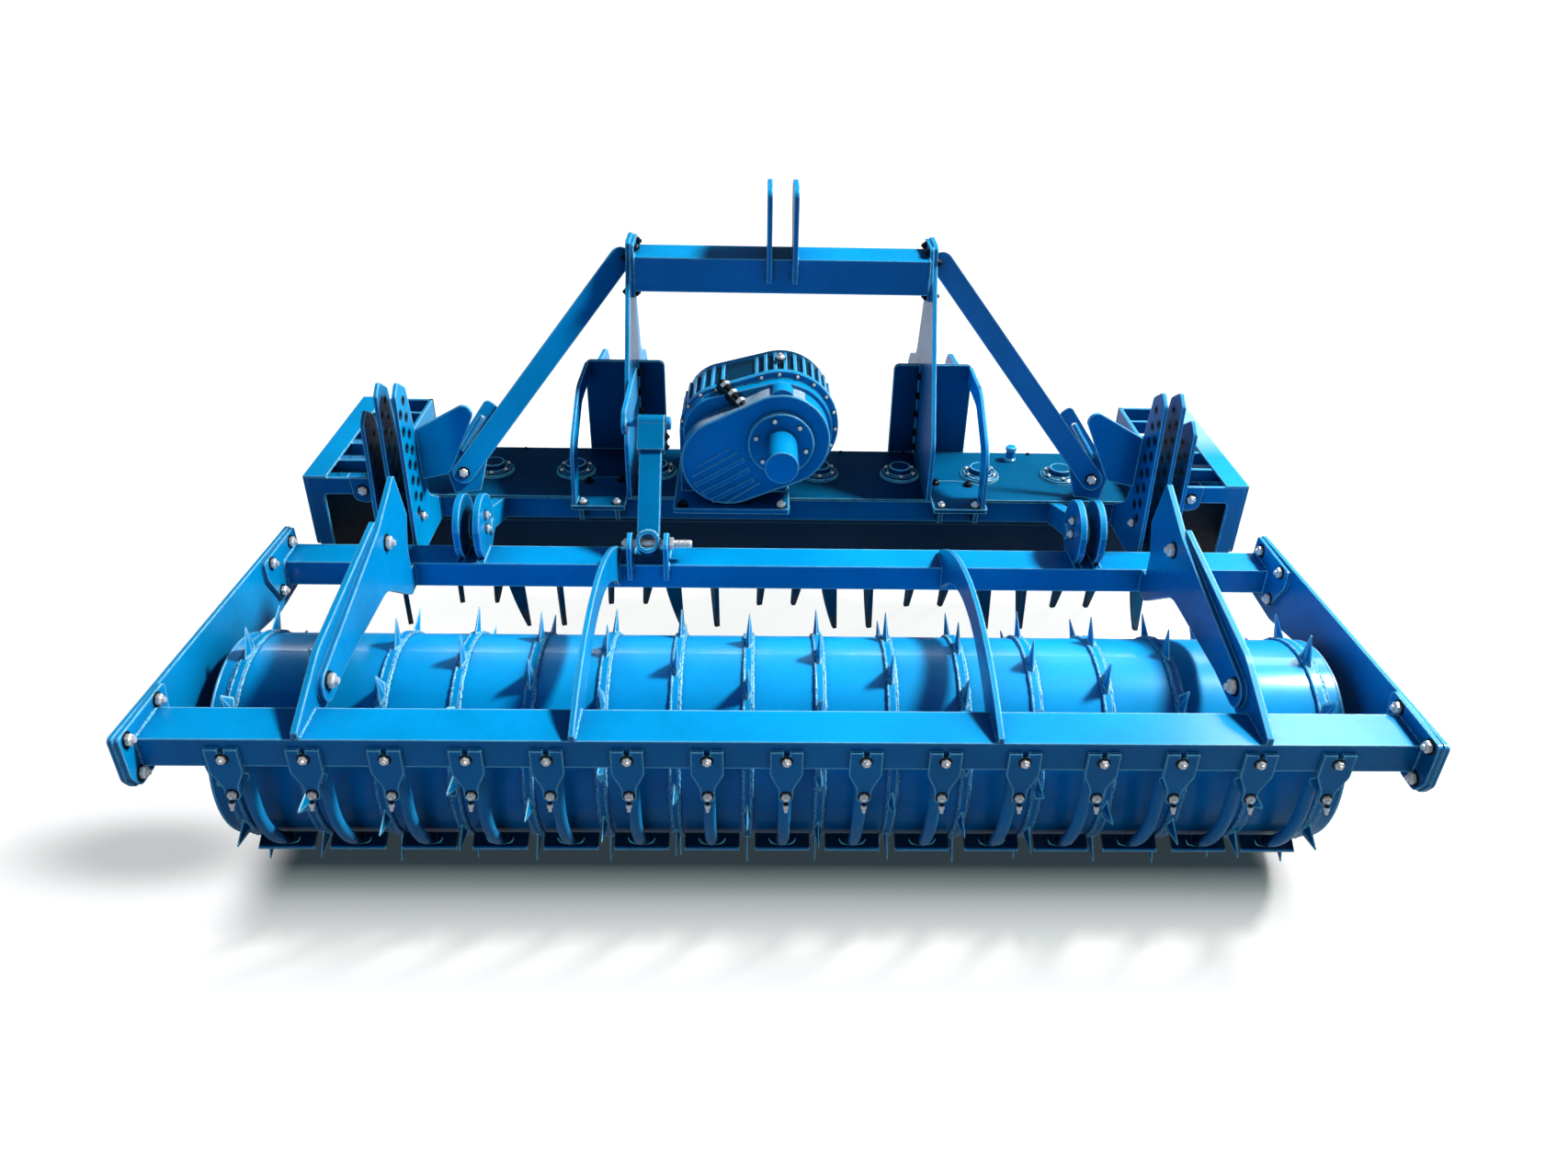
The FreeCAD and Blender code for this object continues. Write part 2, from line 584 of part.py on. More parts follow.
def make_arm_bolts():
    """Bolts through arm and rib, with their heads and nuts."""
    x0, x1 = ARM_X, ARM_X + ARM_T + OUTER_RIB_T
    bolts = []
    for y, z in arm_bolts():
        shank = rod_x(x0 - 14, x1 + 14, y, z, ARM_BOLT_R)
        bolts.append(fuse(shank, rod_x(x0 - 14, x0, y, z, ARM_BOLT_R * 1.8), rod_x(x1, x1 + 14, y, z, ARM_BOLT_R * 1.8)))
    return pair(*bolts)


def hinge_ear_faces():
    """Inner faces of the two ears beside each trough lug, as X."""
    return HINGE_X - LUG_T / 2 - LUG_SIDE, HINGE_X + LUG_T / 2 + LUG_SIDE


def make_hinge_ears():
    low, high = hinge_ear_faces()
    ears = []
    for x in (low - EAR_T, high):
        disc = rod_x(x, x + EAR_T, HINGE_Y - EAR_BACK, HINGE_Z + EAR_UP, EAR_R)
        keep = fuse(box(x - 1, x + EAR_T + 1, FRONT_BEAM_REAR, FRONT_BEAM_FRONT, FRONT_BEAM_TOP, HINGE_Z + 2 * EAR_R),
                    box(x - 1, x + EAR_T + 1, FRONT_BEAM_FRONT, HINGE_Y + 2 * EAR_R, FRONT_BEAM_LOW, HINGE_Z + 2 * EAR_R))
        ears.append(disc.common(keep).cut(rod_x(x - 1, x + EAR_T + 1, HINGE_Y, HINGE_Z, HINGE_PIN_R)))
    return pair(*ears)


def make_hinge_pins():
    low, high = hinge_ear_faces()
    pin = rod_x(low - EAR_T - 16, high + EAR_T + 16, HINGE_Y, HINGE_Z, HINGE_PIN_R)
    caps = [rod_x(x, x + 16, HINGE_Y, HINGE_Z, HINGE_PIN_R * 1.5) for x in (low - EAR_T - 16, high + EAR_T)]
    return pair(fuse(pin, *caps))


def make_trough_lugs():
    """Lugs from the trough's rear wall to the roller frame's hinge pins."""
    x = HINGE_X - LUG_T / 2
    eye = rod_x(x, x + LUG_T, HINGE_Y, HINGE_Z, LUG_R)
    web = plate_x([(TROUGH_REAR, COVER_Z), (HINGE_Y, HINGE_Z + LUG_R - 2), (HINGE_Y, HINGE_Z - LUG_R + 2),
                   (TROUGH_REAR, TROUGH_LOW + TROUGH_CHAMFER)], x, LUG_T)
    return pair(fuse(eye, web).cut(rod_x(x - 1, x + LUG_T + 1, HINGE_Y, HINGE_Z, HINGE_PIN_R + RUN)).cut(cover_edge()))


def make_scraper():
    """Bolted tab behind the beam, curved arm under it and blade, drawn at X = 0."""
    rear = REAR_BEAM_REAR
    half, slot = SCRAPER_TAB_W / 2, SCRAPER_SLOT_W / 2
    top, low, neck = REAR_BEAM_TOP - SCRAPER_TAB_TOP, REAR_BEAM_LOW - 12, REAR_BEAM_LOW - SCRAPER_NECK
    side = [(half, top), (half, low, 22), (SCRAPER_ARM_R + 2, neck + 40, 40), (SCRAPER_ARM_R, neck, 10)]
    outline = [(slot, top - SCRAPER_SLOT_H, 6), (slot, top)] + side
    outline += [(-point[0], *point[1:]) for point in reversed(outline)]
    tab = plate_y(outline, rear - SCRAPER_TAB_T, SCRAPER_TAB_T)
    arm_y = rear + SCRAPER_ARM_IN
    sleeve = rod_y(0, rear - 1, arm_y, neck + 18, SCRAPER_ARM_R - 3)
    turn = math.radians(SCRAPER_BEND_DEG)
    start = V(0, arm_y, REAR_BEAM_LOW)
    bend = V(0, arm_y, start.z - SCRAPER_STRAIGHT)
    on_arc = lambda a: bend + V(0, SCRAPER_BEND * (1 - math.cos(a)), -SCRAPER_BEND * math.sin(a))
    path = Part.Wire([Part.LineSegment(start, bend).toShape(),
                      Part.Arc(bend, on_arc(turn / 2), on_arc(turn)).toShape()])
    ring = Part.Wire(Part.makeCircle(SCRAPER_ARM_R, start, V(0, 0, -1)))
    arm = path.makePipeShell([ring], True, True)
    centre = V(0, ROLLER_Y, ROLLER_Z)
    outward = (on_arc(turn) - centre).normalize()
    along = outward.cross(V(1, 0, 0))
    inner = centre + outward * (DRUM_R + FREE)
    corners = [inner - along * (BLADE_T / 2), inner + outward * BLADE_L - along * (BLADE_T / 2),
               inner + outward * BLADE_L + along * (BLADE_T / 2), inner + along * (BLADE_T / 2)]
    corners = [c - V(BLADE_W / 2, 0, 0) for c in corners]
    blade = Part.Face(Part.makePolygon(corners + corners[:1])).extrude(V(BLADE_W, 0, 0))
    keep_off = rod_x(-BLADE_W, BLADE_W, ROLLER_Y, ROLLER_Z, DRUM_R + FREE)
    return fuse(tab, sleeve, arm, blade).cut(keep_off)


def make_scrapers():
    scraper = make_scraper()
    copies = []
    for x in SCRAPER_X:
        copy = scraper.copy()
        copy.translate(V(x, 0, 0))
        copies.append(copy)
    return Part.Compound(copies)


# ---------------------------------------------------------------- depth strut
def strut_angle():
    """Turn about X that points a hanging strut from its top pin to the eye."""
    return -math.degrees(math.atan2(STRUT_TOP_Y - EYE_Y, STRUT_TOP_Z - EYE_Z))


STRUT_L = math.hypot(STRUT_TOP_Y - EYE_Y, STRUT_TOP_Z - EYE_Z)
BARREL_R = STRUT_PIN_R + 14
SLEEVE_HALF = STRUT_BAR_W / 2 + STRUT_WALL


def hung(shape):
    shape.rotate(V(0, 0, 0), V(1, 0, 0), strut_angle())
    shape.translate(V(STRUT_X, STRUT_TOP_Y, STRUT_TOP_Z))
    return shape


def make_strut_sleeve():
    half_y = STRUT_BAR_T / 2 + STRUT_WALL
    barrel = rod_x(-SLEEVE_HALF, SLEEVE_HALF, 0, 0, BARREL_R)
    sleeve = box(-SLEEVE_HALF, SLEEVE_HALF, -half_y, half_y, -SLEEVE_L, 0)
    gap = 0.5
    pocket = box(-STRUT_BAR_W / 2 - gap, STRUT_BAR_W / 2 + gap, -STRUT_BAR_T / 2 - gap, STRUT_BAR_T / 2 + gap,
                 -SLEEVE_L - 1, -BARREL_R)
    return hung(fuse(barrel, sleeve).cut(pocket).cut(rod_x(-SLEEVE_HALF - 1, SLEEVE_HALF + 1, 0, 0, STRUT_PIN_R + RUN)))


def make_strut_rod():
    bar = box(-STRUT_BAR_W / 2, STRUT_BAR_W / 2, -STRUT_BAR_T / 2, STRUT_BAR_T / 2, -STRUT_L + EYE_R * 0.8, -SLEEVE_L + 40)
    eye = rod_y(0, -EYE_L / 2, EYE_L / 2, -STRUT_L, EYE_R)
    bore = rod_y(0, -EYE_L, EYE_L, -STRUT_L, EYE_BORE)
    cross = rod_x(-EYE_R - 1, EYE_R + 1, 0, -STRUT_L, STRUT_PIN_R + EYE_CLEAR)
    return hung(fuse(bar, eye).cut(bore).cut(cross))


def strut_lug_faces():
    return STRUT_X - SLEEVE_HALF - FREE, STRUT_X + SLEEVE_HALF + FREE


def make_strut_lugs():
    low, high = strut_lug_faces()
    lugs = []
    for x in (low - STRUT_LUG_T, high):
        lugs.append(plate_x([(FRONT_BEAM_REAR - 20, FRONT_BEAM_LOW + 34, 8), (FRONT_BEAM_REAR - 20, EYE_Z + 20, 30),
                             (EYE_Y - 6, EYE_Z + STRUT_LUG_R + 8, 26), (EYE_Y + STRUT_LUG_R + 10, EYE_Z + 10, 26),
                             (FRONT_BEAM_FRONT - 4, FRONT_BEAM_TOP), (FRONT_BEAM_REAR, FRONT_BEAM_TOP),
                             (FRONT_BEAM_REAR, FRONT_BEAM_LOW + 34)], x, STRUT_LUG_T)
                    .cut(rod_x(x - 1, x + STRUT_LUG_T + 1, EYE_Y, EYE_Z, STRUT_PIN_R)))
    return Part.Compound(lugs)


def make_strut_pin():
    low, high = strut_lug_faces()
    pin = rod_x(low - STRUT_LUG_T - 12, high + STRUT_LUG_T + 78, EYE_Y, EYE_Z, STRUT_PIN_R)
    return fuse(pin, rod_x(low - STRUT_LUG_T - 12, low - STRUT_LUG_T, EYE_Y, EYE_Z, STRUT_PIN_R * 1.7),
                rod_x(high + STRUT_LUG_T, high + STRUT_LUG_T + 14, EYE_Y, EYE_Z, STRUT_PIN_R * 1.7))


def make_strut_bracket():
    """Arm on the left mast plate that carries the strut's top pin."""
    x0 = -MAST_IN
    arm = plate_x([(STRUT_TOP_Y - 34, STRUT_TOP_Z - 10, 26), (STRUT_TOP_Y + 6, STRUT_TOP_Z + 36, 26),
                   (TROUGH_REAR + 190, STRUT_TOP_Z + 44), (TROUGH_REAR + 190, STRUT_TOP_Z - 56),
                   (STRUT_TOP_Y, STRUT_TOP_Z - 42, 26)], x0, MAST_T)
    pin = rod_x(x0 + 1, STRUT_X + SLEEVE_HALF + 18, STRUT_TOP_Y, STRUT_TOP_Z, STRUT_PIN_R)
    nut = rod_x(STRUT_X + SLEEVE_HALF + 4, STRUT_X + SLEEVE_HALF + 18, STRUT_TOP_Y, STRUT_TOP_Z, STRUT_PIN_R * 1.7)
    return fuse(arm, pin, nut)


# ---------------------------------------------------------------- tower and hitch
def mast_outline():
    y0, front = TROUGH_REAR - 22, FRONT_Y
    return [(y0, TROUGH_TOP), (y0, TROUGH_TOP + 200, 120), (TOWER_BEAM_Y + 34, MAST_TOP_Z - 60, 60),
            (TOWER_BEAM_Y + 44, MAST_TOP_Z, 18), (TOWER_BEAM_Y + TOWER_BEAM_D + 22, MAST_TOP_Z, 18),
            (TOWER_BEAM_Y + TOWER_BEAM_D + 12, TOWER_BEAM_Z - 30, 60), (LOWER_PIN_Y - 130, LOWER_PIN_Z + 130, 80),
            (LOWER_PIN_Y + 20, LOWER_PIN_Z + 80, 50), (front, LOWER_PIN_Z + 30, 30), (front, LOWER_PIN_Z - 50, 40),
            (LOWER_PIN_Y - 60, LOWER_PIN_Z - 90, 60), (TROUGH_FRONT, TROUGH_TOP)]


def make_masts():
    plate = plate_x(mast_outline(), MAST_IN, MAST_T)
    return pair(plate.cut(rod_x(MAST_IN - 1, MAST_OUT + 1, LOWER_PIN_Y, LOWER_PIN_Z, LOWER_PIN_R)))


def make_tower_beam():
    half = MAST_IN
    y0, y1, z0, z1 = TOWER_BEAM_Y, TOWER_BEAM_Y + TOWER_BEAM_D, TOWER_BEAM_Z, TOWER_BEAM_Z + TOWER_BEAM_H
    tube = beam_x(half - FLANGE_T, y0, y1, z0, z1, 8)
    flange = plate_x([(y0 + 36, z1 + 34, 14), (y1 + 14, z1 + 34, 14), (y1 + 8, z0 - 26, 14), (y0 + 6, z0 - 26, 14),
                      (y0 + 2, z0 + 30, 20)], half - FLANGE_T, FLANGE_T)
    return fuse(tube, flange, mirrored(flange))


def make_top_lugs():
    y0, y1 = TOWER_BEAM_Y, TOWER_BEAM_Y + TOWER_BEAM_D
    z0, z1 = TOWER_BEAM_Z, TOWER_BEAM_Z + TOWER_BEAM_H
    lug = plate_x([(y0 - 26, z0 + 36, 12), (y0 - 26, TOP_LUG_TOP, 30), (TOP_PIN_Y - 60, TOP_LUG_TOP, 60),
                   (TOP_PIN_Y + 44, TOP_PIN_Z + 30, 40), (TOP_PIN_Y + 40, TOP_PIN_Z - 50, 40),
                   (y1, z1 + 20, 20), (y1, z1), (y0, z1), (y0, z0 + 36)], TOP_LUG_GAP / 2, TOP_LUG_T)
    return pair(lug.cut(rod_x(TOP_LUG_GAP / 2 - 1, TOP_LUG_GAP / 2 + TOP_LUG_T + 1, TOP_PIN_Y, TOP_PIN_Z, TOP_PIN_R)))


def brace_ends():
    """Ends of the right brace's middle line, on its rear face."""
    return (V(BRACE_FOOT_X, TROUGH_REAR + BRACE_FOOT_IN, BRACE_FOOT_Z),
            V(MAST_OUT + 20, TOWER_BEAM_Y + 70, MAST_TOP_Z - 62))


def brace_plane():
    """Width direction and forward normal of the leaning brace."""
    low, high = brace_ends()
    run = high - low
    side = V(run.z, 0, -run.x).normalize()
    normal = side.cross(run).normalize()
    return side, normal if normal.y > 0 else normal * -1


def on_brace(x, z, depth):
    """Point at (x, z) that lies depth ahead of the brace's rear face."""
    low, _ = brace_ends()
    _, normal = brace_plane()
    base = low + normal * depth
    return V(x, base.y - (normal.x * (x - base.x) + normal.z * (z - base.z)) / normal.y, z)


def make_braces():
    """Flat bars from the mast tops out to the trough's rear edge."""
    low, high = brace_ends()
    side, normal = brace_plane()
    side, normal = side * (BRACE_W / 2), normal * BRACE_T
    bar = Part.Face(Part.makePolygon([low + side, high + side, high - side, low - side, low + side])).extrude(normal)
    ends = [Part.makeCylinder(BRACE_W / 2, BRACE_T, p, normal) for p in (low, high)]
    return pair(fuse(bar, *ends).cut(box(0, MAST_OUT, 0, 2000, 0, 2000)))


def make_brace_feet():
    """Slotted plates on the trough's rear edge, in the plane of the braces that they take."""
    x, z = BRACE_FOOT_X, TROUGH_TOP
    _, normal = brace_plane()
    flat = lambda points, depth: Part.Face(closed_wire(points, lambda u, v: on_brace(u, v, depth)))
    plate = flat([(x - 50, z), (x - 118, z + 268, 18), (x - 82, z + 296, 16), (x + 62, z + 96, 30), (x + 34, z)],
                 BRACE_T).extrude(normal * FOOT_PLATE_T)
    slot = flat([(x - 78, z + 236, 7), (x - 62, z + 246, 7), (x + 8, z + 142, 7), (x - 8, z + 132, 7)],
                BRACE_T - 1).extrude(normal * (FOOT_PLATE_T + 2))
    back = lambda v: on_brace(x + 4, v, BRACE_T + FOOT_PLATE_T).y
    web = plate_x([(back(z), z), (back(z + 110), z + 110), (back(z) + 96, z)], x + 4, 12)
    level = box(0, 2000, 0, 2000, z, 2000)
    return pair(plate.cut(slot).common(level), web.common(level).cut(plate))


def make_feet():
    """Foot plates that carry the masts and straps on the trough."""
    y0 = TROUGH_REAR - FOOT_REAR
    x0, x1 = MAST_OUT, STRAP_X + STRAP_T + 8
    foot = plate_z([(x0, y0), (x1, y0, 10), (x1, y0 + 190), (x1 - 60, y0 + 216), (x0, y0 + 216)], TROUGH_TOP, FOOT_T)
    under = plate_x([(y0 + 12, TROUGH_TOP), (TROUGH_REAR - COVER_LIP, TROUGH_TOP), (TROUGH_REAR - COVER_LIP, COVER_Z),
                     (TROUGH_REAR, COVER_Z), (TROUGH_REAR, TROUGH_LOW + TROUGH_CHAMFER + 4), (y0 + 30, TROUGH_TOP - 50)],
                    x0 + 20, FOOT_T)
    other = under.copy()
    other.translate(V(x1 - x0 - 60, 0, 0))
    return pair(foot, under, other)


def make_straps():
    """Curved outer plates from the feet up to the hitch plates."""
    y0, z0 = TROUGH_REAR - FOOT_REAR + 6, TROUGH_TOP + FOOT_T
    front = TROUGH_FRONT + COVER_LIP
    z1 = LOWER_PIN_Z + 130
    w = STRAP_W
    plate = plate_x([(y0, z0), (y0 + 24, z0 + 190, 120), (y0 + 250, z1, 150), (front, z1), (front, z1 - w + 4),
                     (y0 + 280, z1 - w, 90), (y0 + w + 40, z0 + 150, 80), (y0 + w + 14, z0)], STRAP_X, STRAP_T)
    return pair(plate)


def make_hitch_plates():
    """Plates across the trough's front wall, slotted over the masts."""
    y = TROUGH_FRONT + COVER_LIP
    x0, x1 = MAST_IN - 92, STRAP_X + STRAP_T
    z0, z1 = TROUGH_LOW + TROUGH_CHAMFER, LOWER_PIN_Z + 136
    plate = plate_y([(x0, z0, 20), (x1, z0, 20), (x1, z1, 20), (x0, z1, 20)], y, EAR_PLATE_T)
    plate = plate.cut(box(MAST_IN, MAST_OUT, y - 1, y + EAR_PLATE_T + 1, z0 - 1, z1 + 1))
    pads = [box(x, x + 60, TROUGH_FRONT, y, z0 + 6, COVER_Z) for x in (x0 + 8, MAST_OUT + 30)]
    inner, outer = sorted(plate.Solids, key=lambda s: s.BoundBox.XMin)
    return pair(fuse(inner, pads[0]), fuse(outer, pads[1]))


def make_link_ears():
    """Outer ears that hold the lower link pins against the masts."""
    y0 = TROUGH_FRONT + COVER_LIP + EAR_PLATE_T
    x = MAST_OUT + LINK_GAP
    ear = plate_x([(y0, LOWER_PIN_Z + 110), (LOWER_PIN_Y + 20, LOWER_PIN_Z + 80, 50), (FRONT_Y, LOWER_PIN_Z + 30, 30),
                   (FRONT_Y, LOWER_PIN_Z - 50, 40), (LOWER_PIN_Y - 60, LOWER_PIN_Z - 90, 60),
                   (y0, LOWER_PIN_Z - 150)], x, EAR_PLATE_T)
    return pair(ear.cut(rod_x(x - 1, x + EAR_PLATE_T + 1, LOWER_PIN_Y, LOWER_PIN_Z, LOWER_PIN_R)))


# ---------------------------------------------------------------- gearbox
def lobes(x1, z1, r1, x2, z2, r2, y, depth):
    """Two round ends and the straight sides that join them, standing across Y."""
    gap, lean = math.hypot(x2 - x1, z2 - z1), math.atan2(z2 - z1, x2 - x1)
    side = math.acos((r1 - r2) / gap)
    touch = lambda x, z, r, a: (x + r * math.cos(lean + a), z + r * math.sin(lean + a))
    corners = [touch(x1, z1, r1, side), touch(x2, z2, r2, side), touch(x2, z2, r2, -side), touch(x1, z1, r1, -side)]
    return fuse(rod_y(x1, y, y + depth, z1, r1), rod_y(x2, y, y + depth, z2, r2), plate_y(corners, y, depth))


def gear_base_ends():
    """Left and right ends of the gearbox's base plate."""
    return LOBE_X - LOBE_R - 30, GEAR_BASE_RIGHT


def make_gear_base():
    low, high = gear_base_ends()
    y0, y1 = TROUGH_REAR - GEAR_BASE_REAR, ROTOR_Y + GEAR_BASE_AHEAD
    return plate_z([(low, y0, 10), (high, y0, 10), (high, y1, 10), (low, y1, 10)], TROUGH_TOP, GEAR_BASE_T)


def make_gear_cover():
    """Gear case cover at the rear, with its round flange and pressed ribs."""
    y = COVER_REAR
    case = lobes(0, GEAR_Z + COVER_UP, COVER_R, LOBE_X, LOBE_Z, LOBE_R, y, COVER_DEPTH)
    flange = rod_y(0, y - 14, y, GEAR_Z, STUB_FLANGE_R)
    boss = rod_y(0, y + 4, y + COVER_DEPTH, GEAR_Z + COVER_UP + COVER_R - COVER_BOSS_R + 18, COVER_BOSS_R)
    return fuse(case, flange, boss)


def make_shaft_guard():
    return rod_y(0, COVER_REAR - 14 - STUB_L, COVER_REAR - 14, GEAR_Z, STUB_R)


def make_gear_housing():
    y0 = COVER_REAR + COVER_DEPTH
    depth = HOUSING_FRONT - y0
    base = TROUGH_TOP + GEAR_BASE_T
    low, high = gear_base_ends()
    body = lobes(0, GEAR_Z + 8, HOUSING_R, HOUSING_LOBE_X, HOUSING_LOBE_Z, HOUSING_LOBE_R, y0, depth)
    ring = lobes(0, GEAR_Z + 8, HOUSING_FLANGE_R, HOUSING_LOBE_X, HOUSING_LOBE_Z, HOUSING_LOBE_R + HOUSING_LOBE_RIM, y0 + 44, HOUSING_FLANGE_T)
    block = box(low + 20, high - 8, y0 + 30, HOUSING_FRONT, base, GEAR_Z)
    nose = rod_y(0, HOUSING_FRONT - 1, HOUSING_FRONT + 40, INPUT_Z, INPUT_BOSS_R)
    shape = fuse(body, ring, block, nose)
    above = box(-1000, 1000, y0 - 1, HOUSING_FRONT + 100, base, 2000)
    return shape.common(above).cut(rod_y(0, HOUSING_FRONT - 60, HOUSING_FRONT + 41, INPUT_Z, INPUT_R + 6 + RUN))


def make_input_shaft():
    """Six-splined power take-off shaft that turns in the gearbox nose."""
    y0 = HOUSING_FRONT - 55
    journal = rod_y(0, y0, HOUSING_FRONT + 50, INPUT_Z, INPUT_R + 6)
    shaft = rod_y(0, HOUSING_FRONT + 50, HOUSING_FRONT + 50 + INPUT_L, INPUT_Z, INPUT_R)
    return fuse(journal, shaft)


# ---------------------------------------------------------------- depth plates and side frames
def make_hole_plates():
    """Upright plates with staggered holes that stop the roller arms."""
    y0, z0 = HINGE_Y + 10, TROUGH_LOW + TROUGH_CHAMFER
    plates = []
    for number, x in enumerate(HOLE_PLATE_X):
        drop = 90 if number == 2 else 0
        top = TROUGH_TOP + 490 - drop
        plate = plate_x([(y0, z0 + 60, 30), (y0 + 30, top - 30, 14), (y0 + 72, top, 16), (y0 + 134, top - 40, 20),
                         (y0 + 190, TROUGH_TOP + 60, 60), (TROUGH_REAR, COVER_Z), (TROUGH_REAR, z0), (y0 + 60, z0, 30)],
                        x, HOLE_PLATE_T)
        holes = []
        for i in range(HOLE_ROWS - (2 if drop else 0)):
            z = TROUGH_TOP + 60 + i * HOLE_STEP
            y = y0 + 92 - 3.5 * i
            holes += [rod_x(x - 1, x + HOLE_PLATE_T + 1, y - 22, z, HOLE_R),
                      rod_x(x - 1, x + HOLE_PLATE_T + 1, y + 22, z + HOLE_STEP / 2, HOLE_R)]
        plates.append(plate.cut(holes).cut(cover_edge()))
    return pair(*plates)


def make_corner_gussets():
    """Rear-facing plates that tie the depth plates to the brace feet."""
    x, y = HOLE_PLATE_X[0], HINGE_Y + 165
    z = TROUGH_TOP
    plate = plate_y([(x, z + 130, 0), (x, z + 300), (BRACE_FOOT_X - 84, z + 392, 26), (BRACE_FOOT_X - 102, z + 352, 20),
                     (BRACE_FOOT_X - 6, z + 150, 30)], y, 12)
    tie_x, tie_z = BRACE_FOOT_X + 8, z + 150
    reach = on_brace(tie_x, tie_z, BRACE_T).y
    tie = box(tie_x, tie_x + 46, y + 12, reach + 60, tie_z, tie_z + 10)
    beyond = Part.Face(Part.makePolygon([on_brace(u, v, BRACE_T) for u, v in ((0, 0), (3000, 0), (3000, 3000), (0, 3000), (0, 0))]))
    _, normal = brace_plane()
    return pair(plate, tie.cut(beyond.extrude(normal * 500)))


def make_side_frames():
    """Open side frames at the trough's ends, with cross rungs."""
    out, inn, t = SIDE_OUT, SIDE_IN, SIDE_T
    y0, y1, z1 = SIDE_REAR, SIDE_FRONT, SIDE_TOP
    outer = plate_x([(y0, SIDE_LOW, 20), (y0, z1 - 6), (y1, z1 - 6), (y1, SIDE_LOW + 60, 40), (y1 - 120, SIDE_LOW, 60)],
                    out - t, t)
    rear = plate_y([(inn, z1 - 6), (out - t, z1 - 6), (out - t, SIDE_LOW + 4), (out - 56, SIDE_LOW + 4),
                    (out - 56, z1 - 62, 16), (inn + 50, z1 - 62, 16), (inn + 50, SIDE_LOW + 4), (inn, SIDE_LOW + 4)], y0, t)
    inner = box(inn, inn + t, y0 + t, y1, z1 - SIDE_RAIL_H, z1 - 6)
    front = box(inn, out - t, y1 - t, y1, z1 - SIDE_RAIL_H, z1 - 6)
    strip = box(out - 74, out, y0, y1, z1 - 6, z1)
    step = (y1 - y0) / (RUNGS + 1)
    rungs = [box(inn + t, out - t, y0 + (i + 1) * step, y0 + (i + 1) * step + t, z1 - 52, z1 - 6) for i in range(RUNGS)]
    foot = box(TROUGH_HALF_X, out - t, ROTOR_Y - 60, ROTOR_Y + 60, TROUGH_LOW + TROUGH_CHAMFER + 20, COVER_Z - 10)
    legs = [box(inn, inn + t, y, y + 60, TROUGH_TOP, z1 - SIDE_RAIL_H) for y in (TROUGH_REAR + 8, TROUGH_FRONT - 68)]
    return pair(outer, rear, inner, front, strip, foot, *rungs, *legs)


# ---------------------------------------------------------------- write one file per node
def build():
    nodes = {
        "trough": make_trough(),
        "trough_cover": make_cover(),
        "mast_plates": make_masts(),
        "tower_beam": make_tower_beam(),
        "top_link_lugs": make_top_lugs(),
        "tower_braces": make_braces(),
        "brace_feet": make_brace_feet(),
        "mast_feet": make_feet(),
        "hitch_straps": make_straps(),
        "hitch_plates": make_hitch_plates(),
        "lower_link_ears": make_link_ears(),
        "gearbox_base": make_gear_base(),
        "gearbox_housing": make_gear_housing(),
        "gearbox_cover": make_gear_cover(),
        "shaft_guard": make_shaft_guard(),
        "depth_plates": make_hole_plates(),
        "corner_gussets": make_corner_gussets(),
        "side_frames": make_side_frames(),
        "trough_lugs": make_trough_lugs(),
        "strut_bracket": make_strut_bracket(),
        "input_shaft": make_input_shaft(),
        "strut_sleeve": make_strut_sleeve(),
        "strut_rod": make_strut_rod(),
        "rear_beam": make_rear_beam(),
        "front_beam": make_front_beam(),
        "end_plates": make_end_plates(),
        "roller_bearings": make_bearings(),
        "inner_ribs": make_inner_ribs(),
        "adjusting_arms": make_arms(),
        "outer_ribs": make_outer_ribs(),
        "arm_bolts": make_arm_bolts(),
        "hinge_ears": make_hinge_ears(),
        "hinge_pins": make_hinge_pins(),
        "strut_lugs": make_strut_lugs(),
        "strut_pin": make_strut_pin(),
        "scrapers": make_scrapers(),
        "roller_drum": make_drum(),
        "roller_rings": make_rings(),
    }
    for i, x in enumerate(ROTOR_X):
        nodes[f"rotor_{i + 1:02d}"] = make_rotor(x, 90 * (i % 2) + 20)
    return nodes


def main():
    os.makedirs("parts", exist_ok=True)
    for name, shape in build().items():
        shape.exportStep(f"parts/{name}.step")
        if not shape.isValid():
            print("not valid:", name)
        low, high = shape.BoundBox.XMin, shape.BoundBox.XMax
        print(f"{name}: {len(shape.Solids)} solids, {shape.Volume / 1e9:.4f} m3, X {low:.0f}..{high:.0f}, "
              f"Y {shape.BoundBox.YMin:.0f}..{shape.BoundBox.YMax:.0f}, Z {shape.BoundBox.ZMin:.1f}..{shape.BoundBox.ZMax:.1f}")
    print(f"hinge axis Y {HINGE_Y:.2f} Z {HINGE_Z:.2f}; roller axis Y {ROLLER_Y:.2f} Z {ROLLER_Z:.2f}; rotor axes Y {ROTOR_Y:.2f}")
    print(f"strut top Y {STRUT_TOP_Y} Z {STRUT_TOP_Z}; eye Y {EYE_Y:.2f} Z {EYE_Z:.2f}; strut length {STRUT_L:.2f}")


main()
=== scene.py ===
"""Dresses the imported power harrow: paint, fasteners, welds, castings and a plain studio."""

